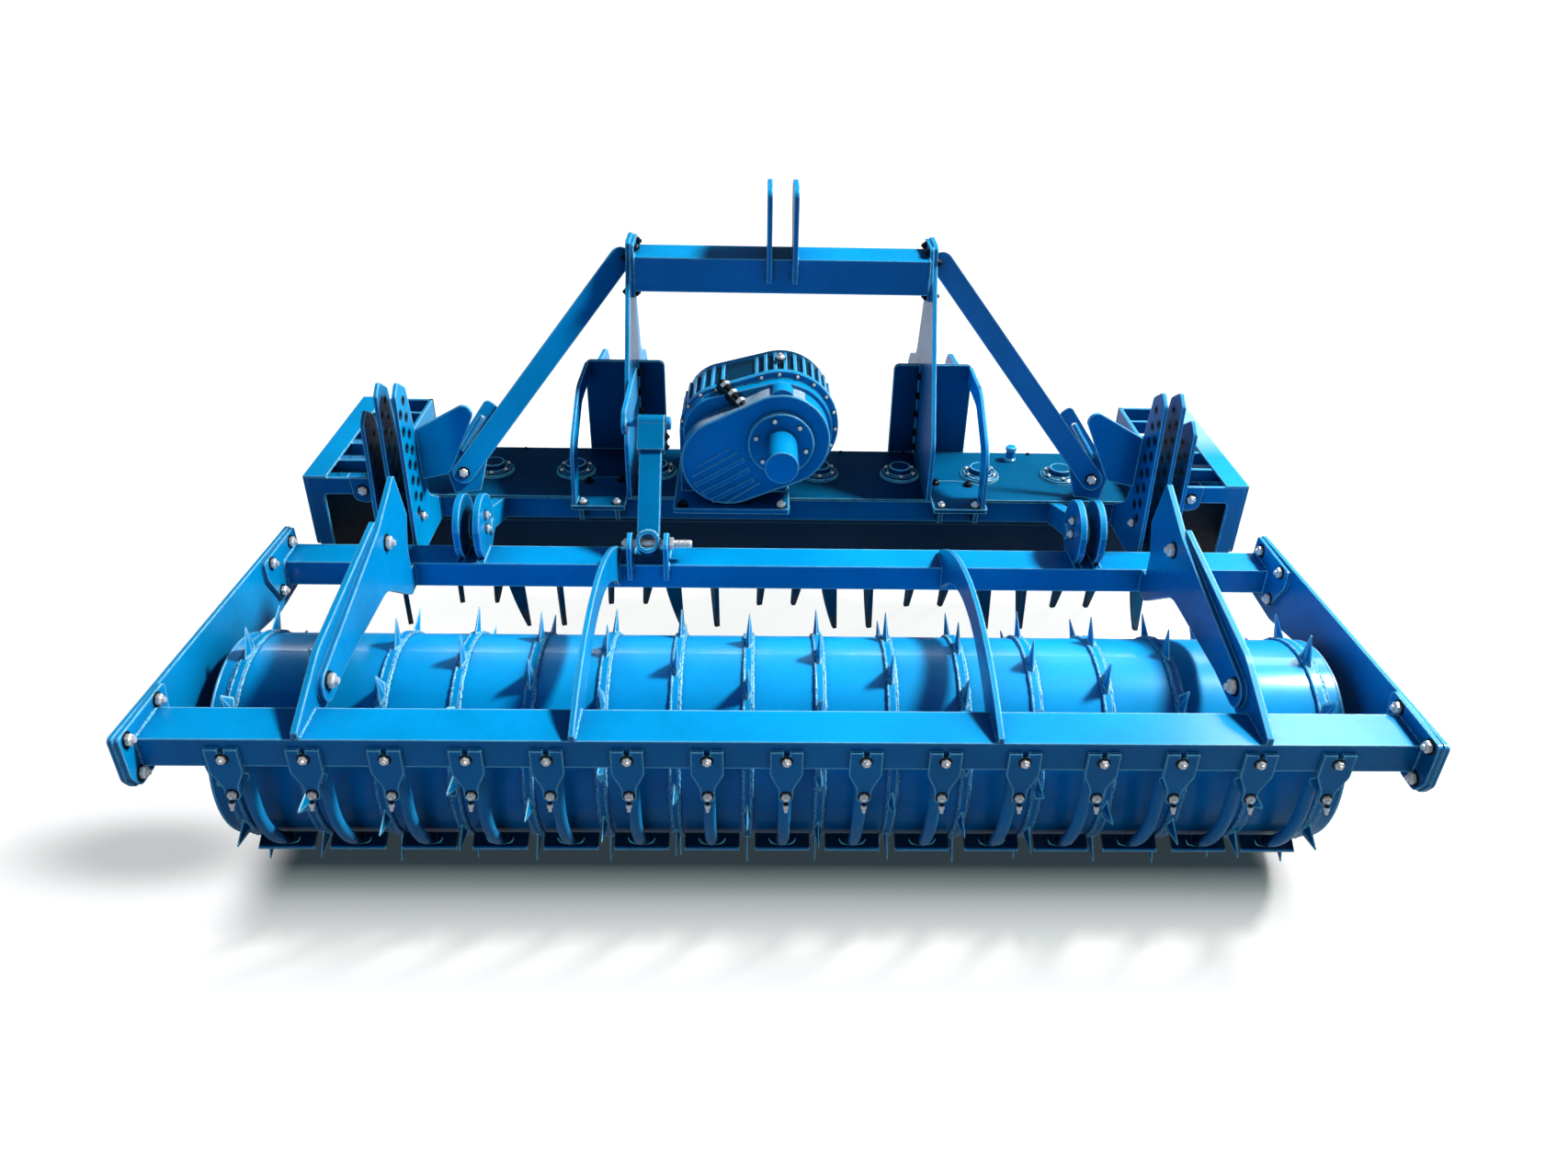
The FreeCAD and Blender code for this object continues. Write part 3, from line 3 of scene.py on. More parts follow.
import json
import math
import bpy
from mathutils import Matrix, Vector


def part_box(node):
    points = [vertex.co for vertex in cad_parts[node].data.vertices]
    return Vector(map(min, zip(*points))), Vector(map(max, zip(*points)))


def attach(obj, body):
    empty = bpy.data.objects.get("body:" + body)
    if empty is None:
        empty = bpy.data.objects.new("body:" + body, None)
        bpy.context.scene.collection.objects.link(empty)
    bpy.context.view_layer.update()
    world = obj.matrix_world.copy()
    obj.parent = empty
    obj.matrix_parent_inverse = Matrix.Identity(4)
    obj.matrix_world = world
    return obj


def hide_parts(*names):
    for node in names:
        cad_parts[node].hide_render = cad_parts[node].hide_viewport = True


bl_info = {
    "name": "Power Harrow Dressing",
    "version": (1, 0, 0),
    "blender": (4, 5, 0),
    "location": "3D View > Sidebar > Harrow",
    "description": "Paint, fasteners, welds and studio for a three-metre power harrow",
    "category": "Object",
}

import bmesh
import bpy
from bpy.props import FloatProperty, FloatVectorProperty, PointerProperty
from mathutils import Matrix, Vector

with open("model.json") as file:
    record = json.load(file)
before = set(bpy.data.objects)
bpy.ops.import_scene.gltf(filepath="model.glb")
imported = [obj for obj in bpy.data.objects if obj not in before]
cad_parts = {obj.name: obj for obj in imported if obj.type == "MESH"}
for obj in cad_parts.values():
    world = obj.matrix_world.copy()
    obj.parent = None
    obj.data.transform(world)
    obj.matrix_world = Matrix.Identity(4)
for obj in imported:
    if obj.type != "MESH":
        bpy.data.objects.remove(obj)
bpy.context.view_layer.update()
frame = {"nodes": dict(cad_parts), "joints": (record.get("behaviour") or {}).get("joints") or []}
NODES = frame["nodes"]
JOINTS = {joint["name"]: joint for joint in frame["joints"]}


# ---------------------------------------------------------------- places on the machine, in metres
ROLLER = Vector(JOINTS["roller_spin"]["pos_m"])
DRUM_R, DRUM_HALF = 0.274, 1.46225
RINGS = [(i - 7.5) * 0.1875 for i in range(16)]
SCRAPERS = [(i - 7) * 0.1875 for i in range(15)]
SCRAPER_TAB_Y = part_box("scrapers")[0][1]
REAR_BEAM = (-1.0130, -0.8930, 0.5919, 0.6719)      # Y and Z reach of the tube
FRONT_BEAM = (-0.0920, 0.0180, 0.5200, 0.6000)
END_PLATE_IN, END_PLATE_OUT = 1.50575, 1.52975
ARM_IN = 1.114                                      # inner face of the adjusting arm
ARM_OUT = 1.146                                     # outer face of the rib beside it
ARM_PLATE_T, INNER_RIB = 0.016, (0.495, 0.509)
ARM_BOLTS = ((-0.827, 0.704), (-0.283, 0.780))
HINGE_EAR_IN, HINGE_EARS = 0.905, (0.0, 0.020, 0.060, 0.080)
ROTOR_Y = 0.550
ROTORS = [(i - 4.5) * 0.285 for i in range(10)]
STRUT_X = -0.405
STRUT_EYE = Vector((STRUT_X, -0.055, 0.655))
LUG_IN, LUG_OUT = 0.048, 0.062                      # faces of the strut's lugs, from STRUT_X
STRUT_TURN = -math.atan2(0.255, 0.285)
GEAR_BASE_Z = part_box("gearbox_base")[1][2]
GEAR_MAIN, GEAR_LOBE = (0.0, 0.851), (-0.172, 0.774)            # X and Z of the cover's two round ends
CASE_MAIN, CASE_LOBE = (0, 0.853), (-0.186, 0.842)              # and of the housing's
SHAFT_BOSS = (0, 0.845)
MAST_IN, MAST_FLANGE = 0.4975, 0.4835
MAST_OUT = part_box("mast_plates")[1][0]
HITCH_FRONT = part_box("hitch_plates")[1][1]
BRACE_LOW, BRACE_HIGH = Vector((1.062, 0.389, 0.668)), Vector((0.5325, 0.690, 1.310))
BRACE_RUN = BRACE_HIGH - BRACE_LOW
BRACE_SIDE = Vector((BRACE_RUN.z, 0, -BRACE_RUN.x)).normalized()
BRACE_NORMAL = BRACE_SIDE.cross(BRACE_RUN).normalized()
BRACE_NORMAL *= 1 if BRACE_NORMAL.y > 0 else -1
BRACE_T, FOOT_PLATE_T = 0.012, 0.010
RIGHT, LEFT, FORWARD, REARWARD, UP = (1, 0, 0), (-1, 0, 0), (0, 1, 0), (0, -1, 0), (0, 0, 1)


def under_gearbox(x):
    """Whether the gearbox covers the trough at x."""
    return -0.42 < x < 0.10


def on_brace(x, z):
    """The point of the brace's rear face at x and z."""
    fall = BRACE_NORMAL.x * (x - BRACE_LOW.x) + BRACE_NORMAL.z * (z - BRACE_LOW.z)
    return Vector((x, BRACE_LOW.y - fall / BRACE_NORMAL.y, z))


OPEN_ROTORS = [x for x in ROTORS if not under_gearbox(x)]


# ---------------------------------------------------------------- settings
class HarrowPaint(bpy.types.PropertyGroup):
    """Colours and painted edge highlight of the machine's finishes"""
    blue: FloatVectorProperty(name="Paint", description="Colour of the sprayed paint", subtype="COLOR",
                              size=3, min=0, max=1, default=(0.0, 0.365, 0.78))
    # The edge colour is a painted highlight along the rounded edges, and the edge width sets how wide it is.
    edge: FloatVectorProperty(name="Thin edges", description="Paint colour where it is thin along edges",
                              subtype="COLOR", size=3, min=0, max=1, default=(0.62, 0.96, 1.0))
    edge_width: FloatProperty(name="Edge width", description="Width of the rounded, thinly painted edges",
                              subtype="DISTANCE", default=0.0066, min=0.0005, max=0.01)
    zinc: FloatVectorProperty(name="Zinc", description="Colour of plated fasteners", subtype="COLOR",
                              size=3, min=0, max=1, default=(0.86, 0.86, 0.83))


class HarrowSizes(bpy.types.PropertyGroup):
    """Sizes of the small parts that the dressing adds"""
    bolt: FloatProperty(name="Bolt head", description="Across corners, half, of the frame bolts' heads",
                        subtype="DISTANCE", default=0.0155, min=0.004, max=0.04)
    weld: FloatProperty(name="Weld bead", description="Radius of the weld beads", subtype="DISTANCE",
                        default=0.0042, min=0.001, max=0.01)
    bead_step: FloatProperty(name="Bead ripple", description="Length of one ripple of a weld bead",
                             subtype="DISTANCE", default=0.008, min=0.002, max=0.03)


class HarrowStudio(bpy.types.PropertyGroup):
    """Camera and light"""
    lens: FloatProperty(name="Lens", description="Focal length", subtype="DISTANCE_CAMERA", default=26.06)
    key: FloatProperty(name="Key light", description="Power of the main lamp", subtype="POWER", default=1120)
    fill: FloatProperty(name="Fill light", description="Power of the lamp behind the camera", subtype="POWER",
                        default=34)
    strip: FloatProperty(name="Strip lamps", description="Power of each narrow lamp in the row that lights the drum",
                         subtype="POWER", default=26)
    rim: FloatProperty(name="Rim light", description="Power of the lamp ahead on the right", subtype="POWER",
                       default=64)
    sky: FloatProperty(name="Sky", description="Strength of the light from all round", default=0.080, min=0, max=2)
    mirrored: FloatProperty(name="Mirrored walls", description="Brightness of the studio's walls in reflections",
                            default=0.10, min=0, max=1)


# ---------------------------------------------------------------- node trees written as expressions
def arithmetic(operation, swapped=False):
    """A Python operator that makes a Math node."""
    def apply(wire, other):
        return wire.tree.math(operation, *((other, wire) if swapped else (wire, other)))
    return apply


class Wire:
    """An output of a node that takes part in Python arithmetic."""
    __add__ = __radd__ = arithmetic("ADD")
    __sub__, __rsub__ = arithmetic("SUBTRACT"), arithmetic("SUBTRACT", swapped=True)
    __mul__ = __rmul__ = arithmetic("MULTIPLY")
    __truediv__, __pow__ = arithmetic("DIVIDE"), arithmetic("POWER")

    def __init__(self, tree, socket):
        self.tree, self.socket = tree, socket

    def clamped(self):
        return self.tree.math("ADD", self, 0.0, clamp=True)

    def over(self, low, high, to_low=0.0, to_high=1.0):
        """This value, ramped smoothly from low..high to to_low..to_high."""
        return self.tree.node("ShaderNodeMapRange", {"interpolation_type": "SMOOTHSTEP"},
                              {"Value": self, "From Min": low, "From Max": high, "To Min": to_low, "To Max": to_high})


class Tree:
    """A node tree: one call makes a node from its type, its settings and its inputs."""

    def __init__(self, tree):
        self.tree = tree

    def feed(self, socket, value):
        """Link a wire to a socket, or set its value."""
        if isinstance(value, Wire):
            self.tree.links.new(value.socket, socket)
        else:
            socket.default_value = value

    def node(self, kind, settings=None, inputs=None, out=0):
        """Settings come first, such as an operation or a ramp's (position, colour) stops, then values and links."""
        made = self.tree.nodes.new(kind)
        for name, value in (settings or {}).items():
            if name == "stops":
                elements = made.color_ramp.elements
                while len(elements) < len(value):
                    elements.new(0.5)
                for element, (at, colour) in zip(elements, value):
                    element.position, element.color = at, (*colour, 1)
            else:
                setattr(made, name, value)
        for name, value in (inputs or {}).items():
            self.feed(made.inputs[name], value)
        return Wire(self, made.outputs[out])

    def math(self, operation, *values, clamp=False):
        return self.node("ShaderNodeMath", {"operation": operation, "use_clamp": clamp}, dict(enumerate(values)))

    def vector_math(self, operation, *values, out="Value"):
        return self.node("ShaderNodeVectorMath", {"operation": operation}, dict(enumerate(values)), out)

    def mix(self, factor, a, b, blend="MIX"):
        """Colour a where factor is 0, b where it is 1."""
        pad = lambda c: c if isinstance(c, Wire) else (*c, 1)
        return self.node("ShaderNodeMix", {"data_type": "RGBA", "blend_type": blend},
                         {0: factor, 6: pad(a), 7: pad(b)}, 2)

    def ray(self, kind):
        return self.node("ShaderNodeLightPath", out=kind)


class Finish(Tree):
    """The shader tree of one finish."""

    def __init__(self, name):
        self.material = bpy.data.materials.new(name)
        self.material.use_nodes = True
        super().__init__(self.material.node_tree)
        self.shader = self.tree.nodes["Principled BSDF"]
        self.place = self.node("ShaderNodeTexCoord", out="Object")

    def part(self, axis):
        """One coordinate of the surface point, in metres."""
        return self.node("ShaderNodeSeparateXYZ", None, {0: self.place}, axis)

    def noise(self, scale, detail=3, rough=0.5, stretch=None):
        where = self.place
        if stretch:
            where = self.node("ShaderNodeMapping", None, {"Vector": where, "Scale": stretch})
        return self.node("ShaderNodeTexNoise", None,
                         {"Vector": where, "Scale": scale, "Detail": detail, "Roughness": rough})

    def round_normal(self, radius):
        return self.node("ShaderNodeBevel", {"samples": 3}, {"Radius": radius})

    def edge_mask(self, bent):
        """1 on sharp edges, falling to 0 where the rounded normal meets the flat one."""
        flat = self.node("ShaderNodeNewGeometry", out="Normal")
        return (1.0 - self.vector_math("DOT_PRODUCT", bent, flat)).over(0.003, 0.07)

    def hollow_mask(self, distance):
        """1 deep in corners, 0 in the open."""
        open_air = self.node("ShaderNodeAmbientOcclusion", {"samples": 2}, {"Distance": distance}, "AO")
        return (1.0 - open_air).over(0.10, 0.90)

    def bump(self, height, distance, strength=1.0, normal=None):
        inputs = {"Height": height, "Distance": distance, "Strength": strength}
        if normal is not None:
            inputs["Normal"] = normal
        return self.node("ShaderNodeBump", None, inputs)

    def set(self, **values):
        for name, value in values.items():
            self.feed(self.shader.inputs[name.replace("_", " ")], value)
        return self.material


# ---------------------------------------------------------------- finishes
PAINT_SHEEN = (0.02, 0.62, 1.0, 1.0)                # tint of the blue paint's reflections
PAINT_FLECK = (0.01, 0.46, 0.82)
# painted shade: the colours that corners and the dark masks turn to
CORNER_SHADE, NEAR_BLACK = (0.0, 0.012, 0.055), (0.002, 0.008, 0.018)
# painted glow that keeps the edges bright in shade
EDGE_GLOW = (0.03, 0.15, 0.21)
HOLE_STEP, HOLE_LEAN = 0.056, 0.0035                # from hole to hole of the depth plates, upward and rearward
FINISHES = {}


def times(colour, share):
    return tuple(c * share for c in colour)


def make_paint(name, paint, pitting=0.0, peel=0.00012, edge_light=1.0, shade=1.0, gloss=1.0, dark=None, pale_reflection=None,
               bright=None):
    """Sprayed paint: cloudy film and orange peel, with a painted highlight and glow on its rounded edges and painted
    shade in corners.

    The shade factor gives darker copies of the paint, painted shade, or above 1 lighter ones, painted light; the edge
    factor scales the painted edge highlight. dark, the pale mask and bright are functions of the finish that give the
    share of near-black painted shade, of pale, speckled painted reflection and of painted light on a strongly lit
    side.
    """
    f = Finish(name)
    cloud, film, speck = f.noise(2.3, 4, 0.55), f.noise(38, 4, 0.65), f.noise(420, 2, 0.5)
    bent = f.round_normal(paint.edge_width)
    # painted highlight: the share of lighter colour and glow along the rounded edges
    edge = f.edge_mask(bent) * film.over(0.30, 0.62, 0.60, 1.0) * edge_light
    if dark is not None:
        black = dark(f)
        edge = edge * (1.0 - black)
    hollow = f.hollow_mask(0.14)
    tone = lambda k: tuple(min(1.0, c * k * shade) for c in paint.blue)
    colour = f.mix(cloud.over(0.35, 0.66), tone(0.84), tone(1.06))
    colour = f.mix(film.over(0.42, 0.72) * 0.18, colour, tone(0.70))
    colour = f.mix(speck.over(0.64, 0.80) * (0.16 + pitting), colour, PAINT_FLECK)
    # painted light: where the bright mask says, the paint turns a lighter blue
    if bright is not None:
        colour = f.mix(bright(f), colour, (0.0, 0.70, 1.0))
    # painted reflection: pale and speckled where the pale mask says
    if pale_reflection is not None:
        colour = f.mix(pale_reflection(f) * speck.over(0.34, 0.56, 0.45, 1.0), colour, (0.36, 0.56, 0.70))
    # painted shade: corners turn near-black
    colour = f.mix(hollow * 0.93, colour, CORNER_SHADE)
    # painted shade: near-black where the dark mask says
    if dark is not None:
        colour = f.mix(black, colour, NEAR_BLACK)
    # painted highlight along the edges
    colour = f.mix(edge, colour, tuple(paint.edge))
    rough = 0.36 + film.over(0.30, 0.75) * 0.12 + hollow * 0.2 - edge * 0.16
    height = film * 0.5 + cloud * 0.3 + speck * (0.25 + pitting)
    normal = f.bump(height, peel * (1 + 6 * pitting), 0.7, normal=bent)
    # the edges also take a painted glow, so that they stay bright in shade
    return f.set(Base_Color=colour, Roughness=rough, Normal=normal, Specular_IOR_Level=0.30 * gloss,
                 Specular_Tint=PAINT_SHEEN, Coat_Weight=edge * 0.5 + 0.40 * gloss, Coat_Roughness=0.20,
                 Coat_Tint=(0.80, 0.95, 1.0, 1.0), Emission_Color=f.mix(edge, (0, 0, 0), EDGE_GLOW),
                 Emission_Strength=1.0)


def below_blade(f):
    """1 on the scraper blades' faces above their lower edge, for near-black painted shade, seen by its distance from
    the drum's axis.
    """
    across = f.vector_math("MULTIPLY", f.place, (0, 1, 1), out=0)
    radius = f.vector_math("DISTANCE", across, (0, ROLLER.y, ROLLER.z))
    return (1.0 - radius.over(0.3180, 0.3192)) * radius.over(0.2700, 0.2720) * 0.93


def under_trough(f):
    """1 on the chamfer and the floor of the trough, for near-black painted shade."""
    return (1.0 - f.part("Z").over(0.505, 0.520)) * 0.9


def between_fins(f):
    """1 on the housing behind its flange, between the cooling fins, for near-black painted shade."""
    return f.part("Y").over(0.409, 0.411) * (1.0 - f.part("Y").over(0.598, 0.602)) * 0.90


def round_holes(f):
    """1 on and just round each of the staggered holes of the depth plates, for near-black painted shade."""
    x, y, z = f.part("X"), f.part("Y"), f.part("Z")
    spots = []
    for y0, z0 in ((0.130, 0.660), (0.174, 0.688)):
        row = f.math("ROUND", (z - z0) / HOLE_STEP)
        row = f.math("MINIMUM", f.math("MAXIMUM", row, 0.0), 6.0)
        up, along = z - z0 - row * HOLE_STEP, y - y0 + row * HOLE_LEAN
        away = (up * up + along * along * 0.72) ** 0.5
        spots.append(1.0 - away.over(0.0150, 0.0162))
    above_short = f.math("ABSOLUTE", x).over(1.245, 1.250) * z.over(0.924, 0.926)
    return (spots[0] + spots[1]).clamped() * (1.0 - above_short) * 0.95


def top_strip(f):
    """1 on the far part of the upper faces of the right side frame, for a pale, speckled painted reflection."""
    return f.part("Z").over(0.7405, 0.7415) * f.part("X").over(-0.1, 0.1) * f.part("Y").over(0.40, 0.62)


def left_wing(f):
    """1 on the outer part of the left corner gusset, for painted light."""
    return 1.0 - f.part("X").over(-1.065, -1.000)


def make_weld_finish(name):
    """Rough bead under thin paint, with bright spatter."""
    f = Finish(name)
    lump, grain = f.noise(150, 3, 0.6), f.noise(520, 2, 0.5)
    tone = f.mix(lump.over(0.42, 0.60), (0.0, 0.16, 0.42), (0.05, 0.56, 0.86))
    tone = f.mix(grain.over(0.50, 0.62) * 0.8, tone, (0.60, 0.93, 1.0))
    return f.set(Base_Color=tone, Roughness=0.30 + grain * 0.25, Normal=f.bump(lump + grain * 0.5, 0.0012, 0.9),
                 Specular_Tint=(0.3, 0.85, 1.0, 1.0), Coat_Weight=0.4, Coat_Roughness=0.15)


def make_metal(name, colour, rough, streak=(1, 1, 1), dark=0.5, tarnish=0.35, metal=1.0, lift=0.0):
    """Bare or plated metal with fine marks, random tarnish and painted shade in its corners; lift is a faint painted
    glow of its own colour, which keeps it bright in shade.
    """
    f = Finish(name)
    cloud, marks = f.noise(60, 4, 0.6), f.noise(700, 3, 0.6, stretch=streak)
    hollow = f.hollow_mask(0.02)
    tone = f.mix(cloud.over(0.35, 0.70) * tarnish, colour, times(colour, dark))
    # painted shade: corners turn near-black
    tone = f.mix(hollow * 0.95, tone, times(colour, 0.04))
    # painted glow, kept out of the corners
    if lift:
        f.set(Emission_Color=f.mix(hollow, times(colour, lift), (0, 0, 0)), Emission_Strength=1.0)
    return f.set(Base_Color=tone, Metallic=metal, Roughness=rough + cloud.over(0.3, 0.7) * 0.16,
                 Normal=f.bump(marks + cloud * 0.6, 0.00008, 0.6, normal=f.round_normal(0.0012)))


def make_tine_finish(name, paint):
    """Paint on top, worn to bright steel towards the tip that works in the soil. The paint is a darker copy of the
    blue, painted shade, with a painted highlight on its edges, painted shade in its corners and near-black painted
    shade above the tines, under the trough.
    """
    f = Finish(name)
    high = f.part("Z")
    ragged = high + f.noise(14, 4, 0.6) * 0.10 - 0.05
    bare = 1.0 - ragged.over(0.02, 0.09)
    film = f.noise(38, 5, 0.65)
    bent = f.round_normal(0.003)
    # painted shade: the tines' paint is a darker copy of the blue
    blue = f.mix(film.over(0.4, 0.7) * 0.3, times(paint.blue, 0.50), times(paint.blue, 0.34))
    # painted highlight along the edges
    blue = f.mix(f.edge_mask(bent) * 0.9, blue, tuple(paint.edge))
    scratch = f.noise(90, 4, 0.6, stretch=(1, 1, 0.12))
    scoured = f.mix(scratch.over(0.35, 0.7), (0.20, 0.23, 0.27), (0.06, 0.08, 0.11))
    colour = f.mix(bare * 0.85, blue, scoured)
    # painted shade in corners
    colour = f.mix(f.hollow_mask(0.12) * 0.8, colour, (0.0, 0.02, 0.07))
    # painted shade: near-black above the tines, under the trough
    colour = f.mix(high.over(0.325, 0.350) * 0.9, colour, (0.0, 0.010, 0.030))
    height = film * 0.5 + f.noise(300, 3, 0.6, stretch=(1, 1, 0.2)) * 0.5
    return f.set(Base_Color=colour, Metallic=bare * 0.85, Roughness=0.34 + film * 0.12,
                 Specular_Tint=PAINT_SHEEN, Normal=f.bump(height, 0.0002, 0.6, normal=bent))


def make_pale_cast_highlight(name):
    """Pale, grained colour of a sand-cast face, lighter than the paint: a painted highlight where the face is lit."""
    f = Finish(name)
    grain = f.noise(330, 3, 0.6)
    tone = f.mix(grain.over(0.40, 0.66), (0.20, 0.34, 0.46), (0.52, 0.60, 0.68))
    tone = f.mix(f.noise(26, 4, 0.6).over(0.45, 0.75) * 0.6, tone, (0.02, 0.14, 0.32))
    return f.set(Base_Color=tone, Roughness=0.42 + grain * 0.2, Normal=f.bump(grain, 0.0003, 0.7))


def make_rubber(name, colour):
    """Dull black rubber with a fine grain."""
    f = Finish(name)
    grain = f.noise(520, 3, 0.6)
    tone = f.mix(f.noise(40, 3).over(0.4, 0.7), colour, tuple(c * 1.8 + 0.004 for c in colour))
    return f.set(Base_Color=tone, Roughness=0.5 + grain * 0.2, Normal=f.bump(grain, 0.0001, 0.5))


def make_finishes(paint):
    cast = {"pitting": 0.16, "peel": 0.0003}
    painted = {
        "blue": ("blue_paint", {}),
        "cast": ("cast_paint", {**cast, "edge_light": 0.7}),
        # deck, trough, strut and shaded are darker copies of the paint, painted shade; fin is a lighter copy, painted
        # light, on the fins, dome rims and slot bars
        "deck": ("deck_paint", {"pitting": 0.20, "peel": 0.0003, "shade": 0.28, "gloss": 0.35}),
        "scraper": ("scraper_paint", {"dark": below_blade}),
        "trough": ("trough_paint", {**cast, "edge_light": 0.7, "shade": 0.8, "gloss": 0.5, "dark": under_trough}),
        "housing": ("housing_paint", {**cast, "edge_light": 0.8, "dark": between_fins}),
        "fin": ("fin_paint", {"pitting": 0.5, "peel": 0.0003, "shade": 1.15}),
        "holes": ("hole_plate_paint", {"gloss": 0.3, "dark": round_holes}),
        "strut": ("strut_paint", {"peel": 0.0003, "shade": 0.64, "gloss": 0.6}),
        # gusset: painted light on the left wing; side: a pale painted reflection on the top strip
        "gusset": ("gusset_paint", {"bright": left_wing}),
        "side": ("side_frame_paint", {"pale_reflection": top_strip}),
        "shaded": ("hitch_paint", {"shade": 0.40, "gloss": 0.6}),
        # a near-black copy: painted shadow for the plates under the trough
        "shadow_black": ("underside_paint", {"shade": 0.12, "edge_light": 0.3}),
    }
    for key, (name, options) in painted.items():
        FINISHES[key] = make_paint(name, paint, **options)
    FINISHES.update(
        tine=make_tine_finish("tine_finish", paint),
        # the zinc's faint glow is painted light that keeps the fasteners bright in shade
        zinc=make_metal("zinc_plate", tuple(paint.zinc), 0.26, tarnish=0.2, metal=0.55, lift=0.16),
        steel=make_metal("ground_steel", (0.56, 0.57, 0.58), 0.22, streak=(0.1, 1, 1), tarnish=0.5),
        black=make_metal("black_oxide", (0.035, 0.036, 0.04), 0.34, dark=0.6),
        rubber=make_rubber("black_rubber", (0.012, 0.012, 0.014)),
        weld=make_weld_finish("weld_paint"),
        pale=make_pale_cast_highlight("pale_casting"),
    )


SLOT_OF = {**dict.fromkeys(("blue", "cast", "fin", "shadow_black", "weld", "pale"), "blue_paint"),
           **dict.fromkeys(("zinc", "steel", "black", "rubber"), "bright_steel")}
NODE_FINISH = {
    "scrapers": "scraper", "corner_gussets": "gusset", "hitch_plates": "shaded", "mast_feet": "shaded",
    "trough_cover": "deck", "trough": "trough", "gearbox_housing": "housing", "gearbox_cover": "cast",
    "depth_plates": "holes", "side_frames": "side", "input_shaft": "steel", "hinge_pins": "zinc",
    "strut_pin": "zinc", "arm_bolts": "zinc", "strut_rod": "strut", "strut_sleeve": "strut",
}


# ---------------------------------------------------------------- making pieces
def add(name, data):
    """A new object in the scene."""
    made = bpy.data.objects.new(name, data)
    bpy.context.scene.collection.objects.link(made)
    return made


def settle(name, mesh, body, finish, replaced=()):
    """A finished piece at the origin, riding on its body."""
    piece = add(name, mesh)
    if not mesh.materials:
        mesh.materials.append(FINISHES[finish])
    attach(piece, body)
    if replaced:
        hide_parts(*replaced)


def grown(name, mesh, tree, values, body, finish):
    """The mesh run through a geometry tree, and kept as a plain mesh."""
    seed = add(name + "_seed", mesh)
    modifier = seed.modifiers.new("grow", "NODES")
    modifier.node_group = tree
    sockets = {item.name: item.identifier for item in tree.interface.items_tree if item.in_out == "INPUT"}
    for label, value in values.items():
        modifier[sockets[label]] = value
    ready = seed.evaluated_get(bpy.context.evaluated_depsgraph_get())
    result = bpy.data.meshes.new_from_object(ready)
    result.name = name
    bpy.data.objects.remove(seed)
    settle(name, result, body, finish)


class Shape(Tree):
    """A geometry tree with named inputs that ends in Realize Instances and Set Material."""

    def __init__(self, name, numbers):
        super().__init__(bpy.data.node_groups.new(name, "GeometryNodeTree"))
        sockets = self.tree.interface
        sockets.new_socket("Geometry", in_out="INPUT", socket_type="NodeSocketGeometry")
        for label, value in numbers.items():
            sockets.new_socket(label, in_out="INPUT", socket_type="NodeSocketFloat").default_value = value
        sockets.new_socket("Geometry", in_out="OUTPUT", socket_type="NodeSocketGeometry")
        self.start = self.tree.nodes.new("NodeGroupInput")

    def given(self, label):
        return Wire(self, self.start.outputs[label])

    def named(self, label, kind="FLOAT"):
        return self.node("GeometryNodeInputNamedAttribute", {"data_type": kind}, {"Name": label}, "Attribute")

    def vector(self, x=0.0, y=0.0, z=0.0):
        return self.node("ShaderNodeCombineXYZ", None, {0: x, 1: y, 2: z})

    def joined(self, *parts):
        made = self.tree.nodes.new("GeometryNodeJoinGeometry")
        for part in reversed(parts):
            self.tree.links.new(part.socket, made.inputs[0])
        return Wire(self, made.outputs[0])

    def cone(self, sides, low, high, depth, lift):
        """Cone or cylinder that stands on lift."""
        part = self.node("GeometryNodeMeshCone", None,
                         {"Vertices": sides, "Radius Bottom": low, "Radius Top": high, "Depth": depth})
        return self.node("GeometryNodeTransform", None, {"Geometry": part, "Translation": self.vector(z=lift)})

    def towards_facing(self, **settings):
        """The rotation that turns Z to each point's facing."""
        return self.node("FunctionNodeAlignRotationToVector", {"axis": "Z", **settings},
                         {"Vector": self.named("facing", "FLOAT_VECTOR")})

    def scattered(self, part, rotation, **more):
        """The part on every point of the mesh."""
        return self.node("GeometryNodeInstanceOnPoints", None,
                         {"Points": self.given("Geometry"), "Instance": part, "Rotation": rotation, **more})

    def painted(self, part, finish):
        return self.node("GeometryNodeSetMaterial", None, {"Geometry": part, "Material": FINISHES[finish]})

    def close(self, part, finish=None, smooth=False):
        part = self.node("GeometryNodeRealizeInstances", None, {"Geometry": part})
        part = self.node("GeometryNodeSetShadeSmooth", None, {"Geometry": part, "Shade Smooth": smooth})
        part = self.painted(part, finish) if finish else part
        self.feed(self.tree.nodes.new("NodeGroupOutput").inputs[0], part)
        return self.tree


# sizes of a bolt and of a grease nipple, as shares of the bolt head's half width
BOLT = {"Head radius": 1.0, "Head height": 0.72, "Washer radius": 1.32, "Washer height": 0.16,
        "Stud radius": 0.50, "Stud length": 0.42}
NIPPLE = {"Head radius": 0.46, "Head height": 0.60, "Washer radius": 0.34, "Washer height": 0.35,
          "Stud radius": 0.30, "Stud length": 0.55}
HEAD_SIDE, CHAMFER, END_TAPER = 0.72, 0.80, 0.86    # straight part of the head; its top's and the stud end's width
GOLDEN_TURN = 2.399                                 # from one bolt to the next, so that no two heads line up


def fastener_sizes(shares, bolt=0.0155):
    return {label: bolt * share for label, share in shares.items()}


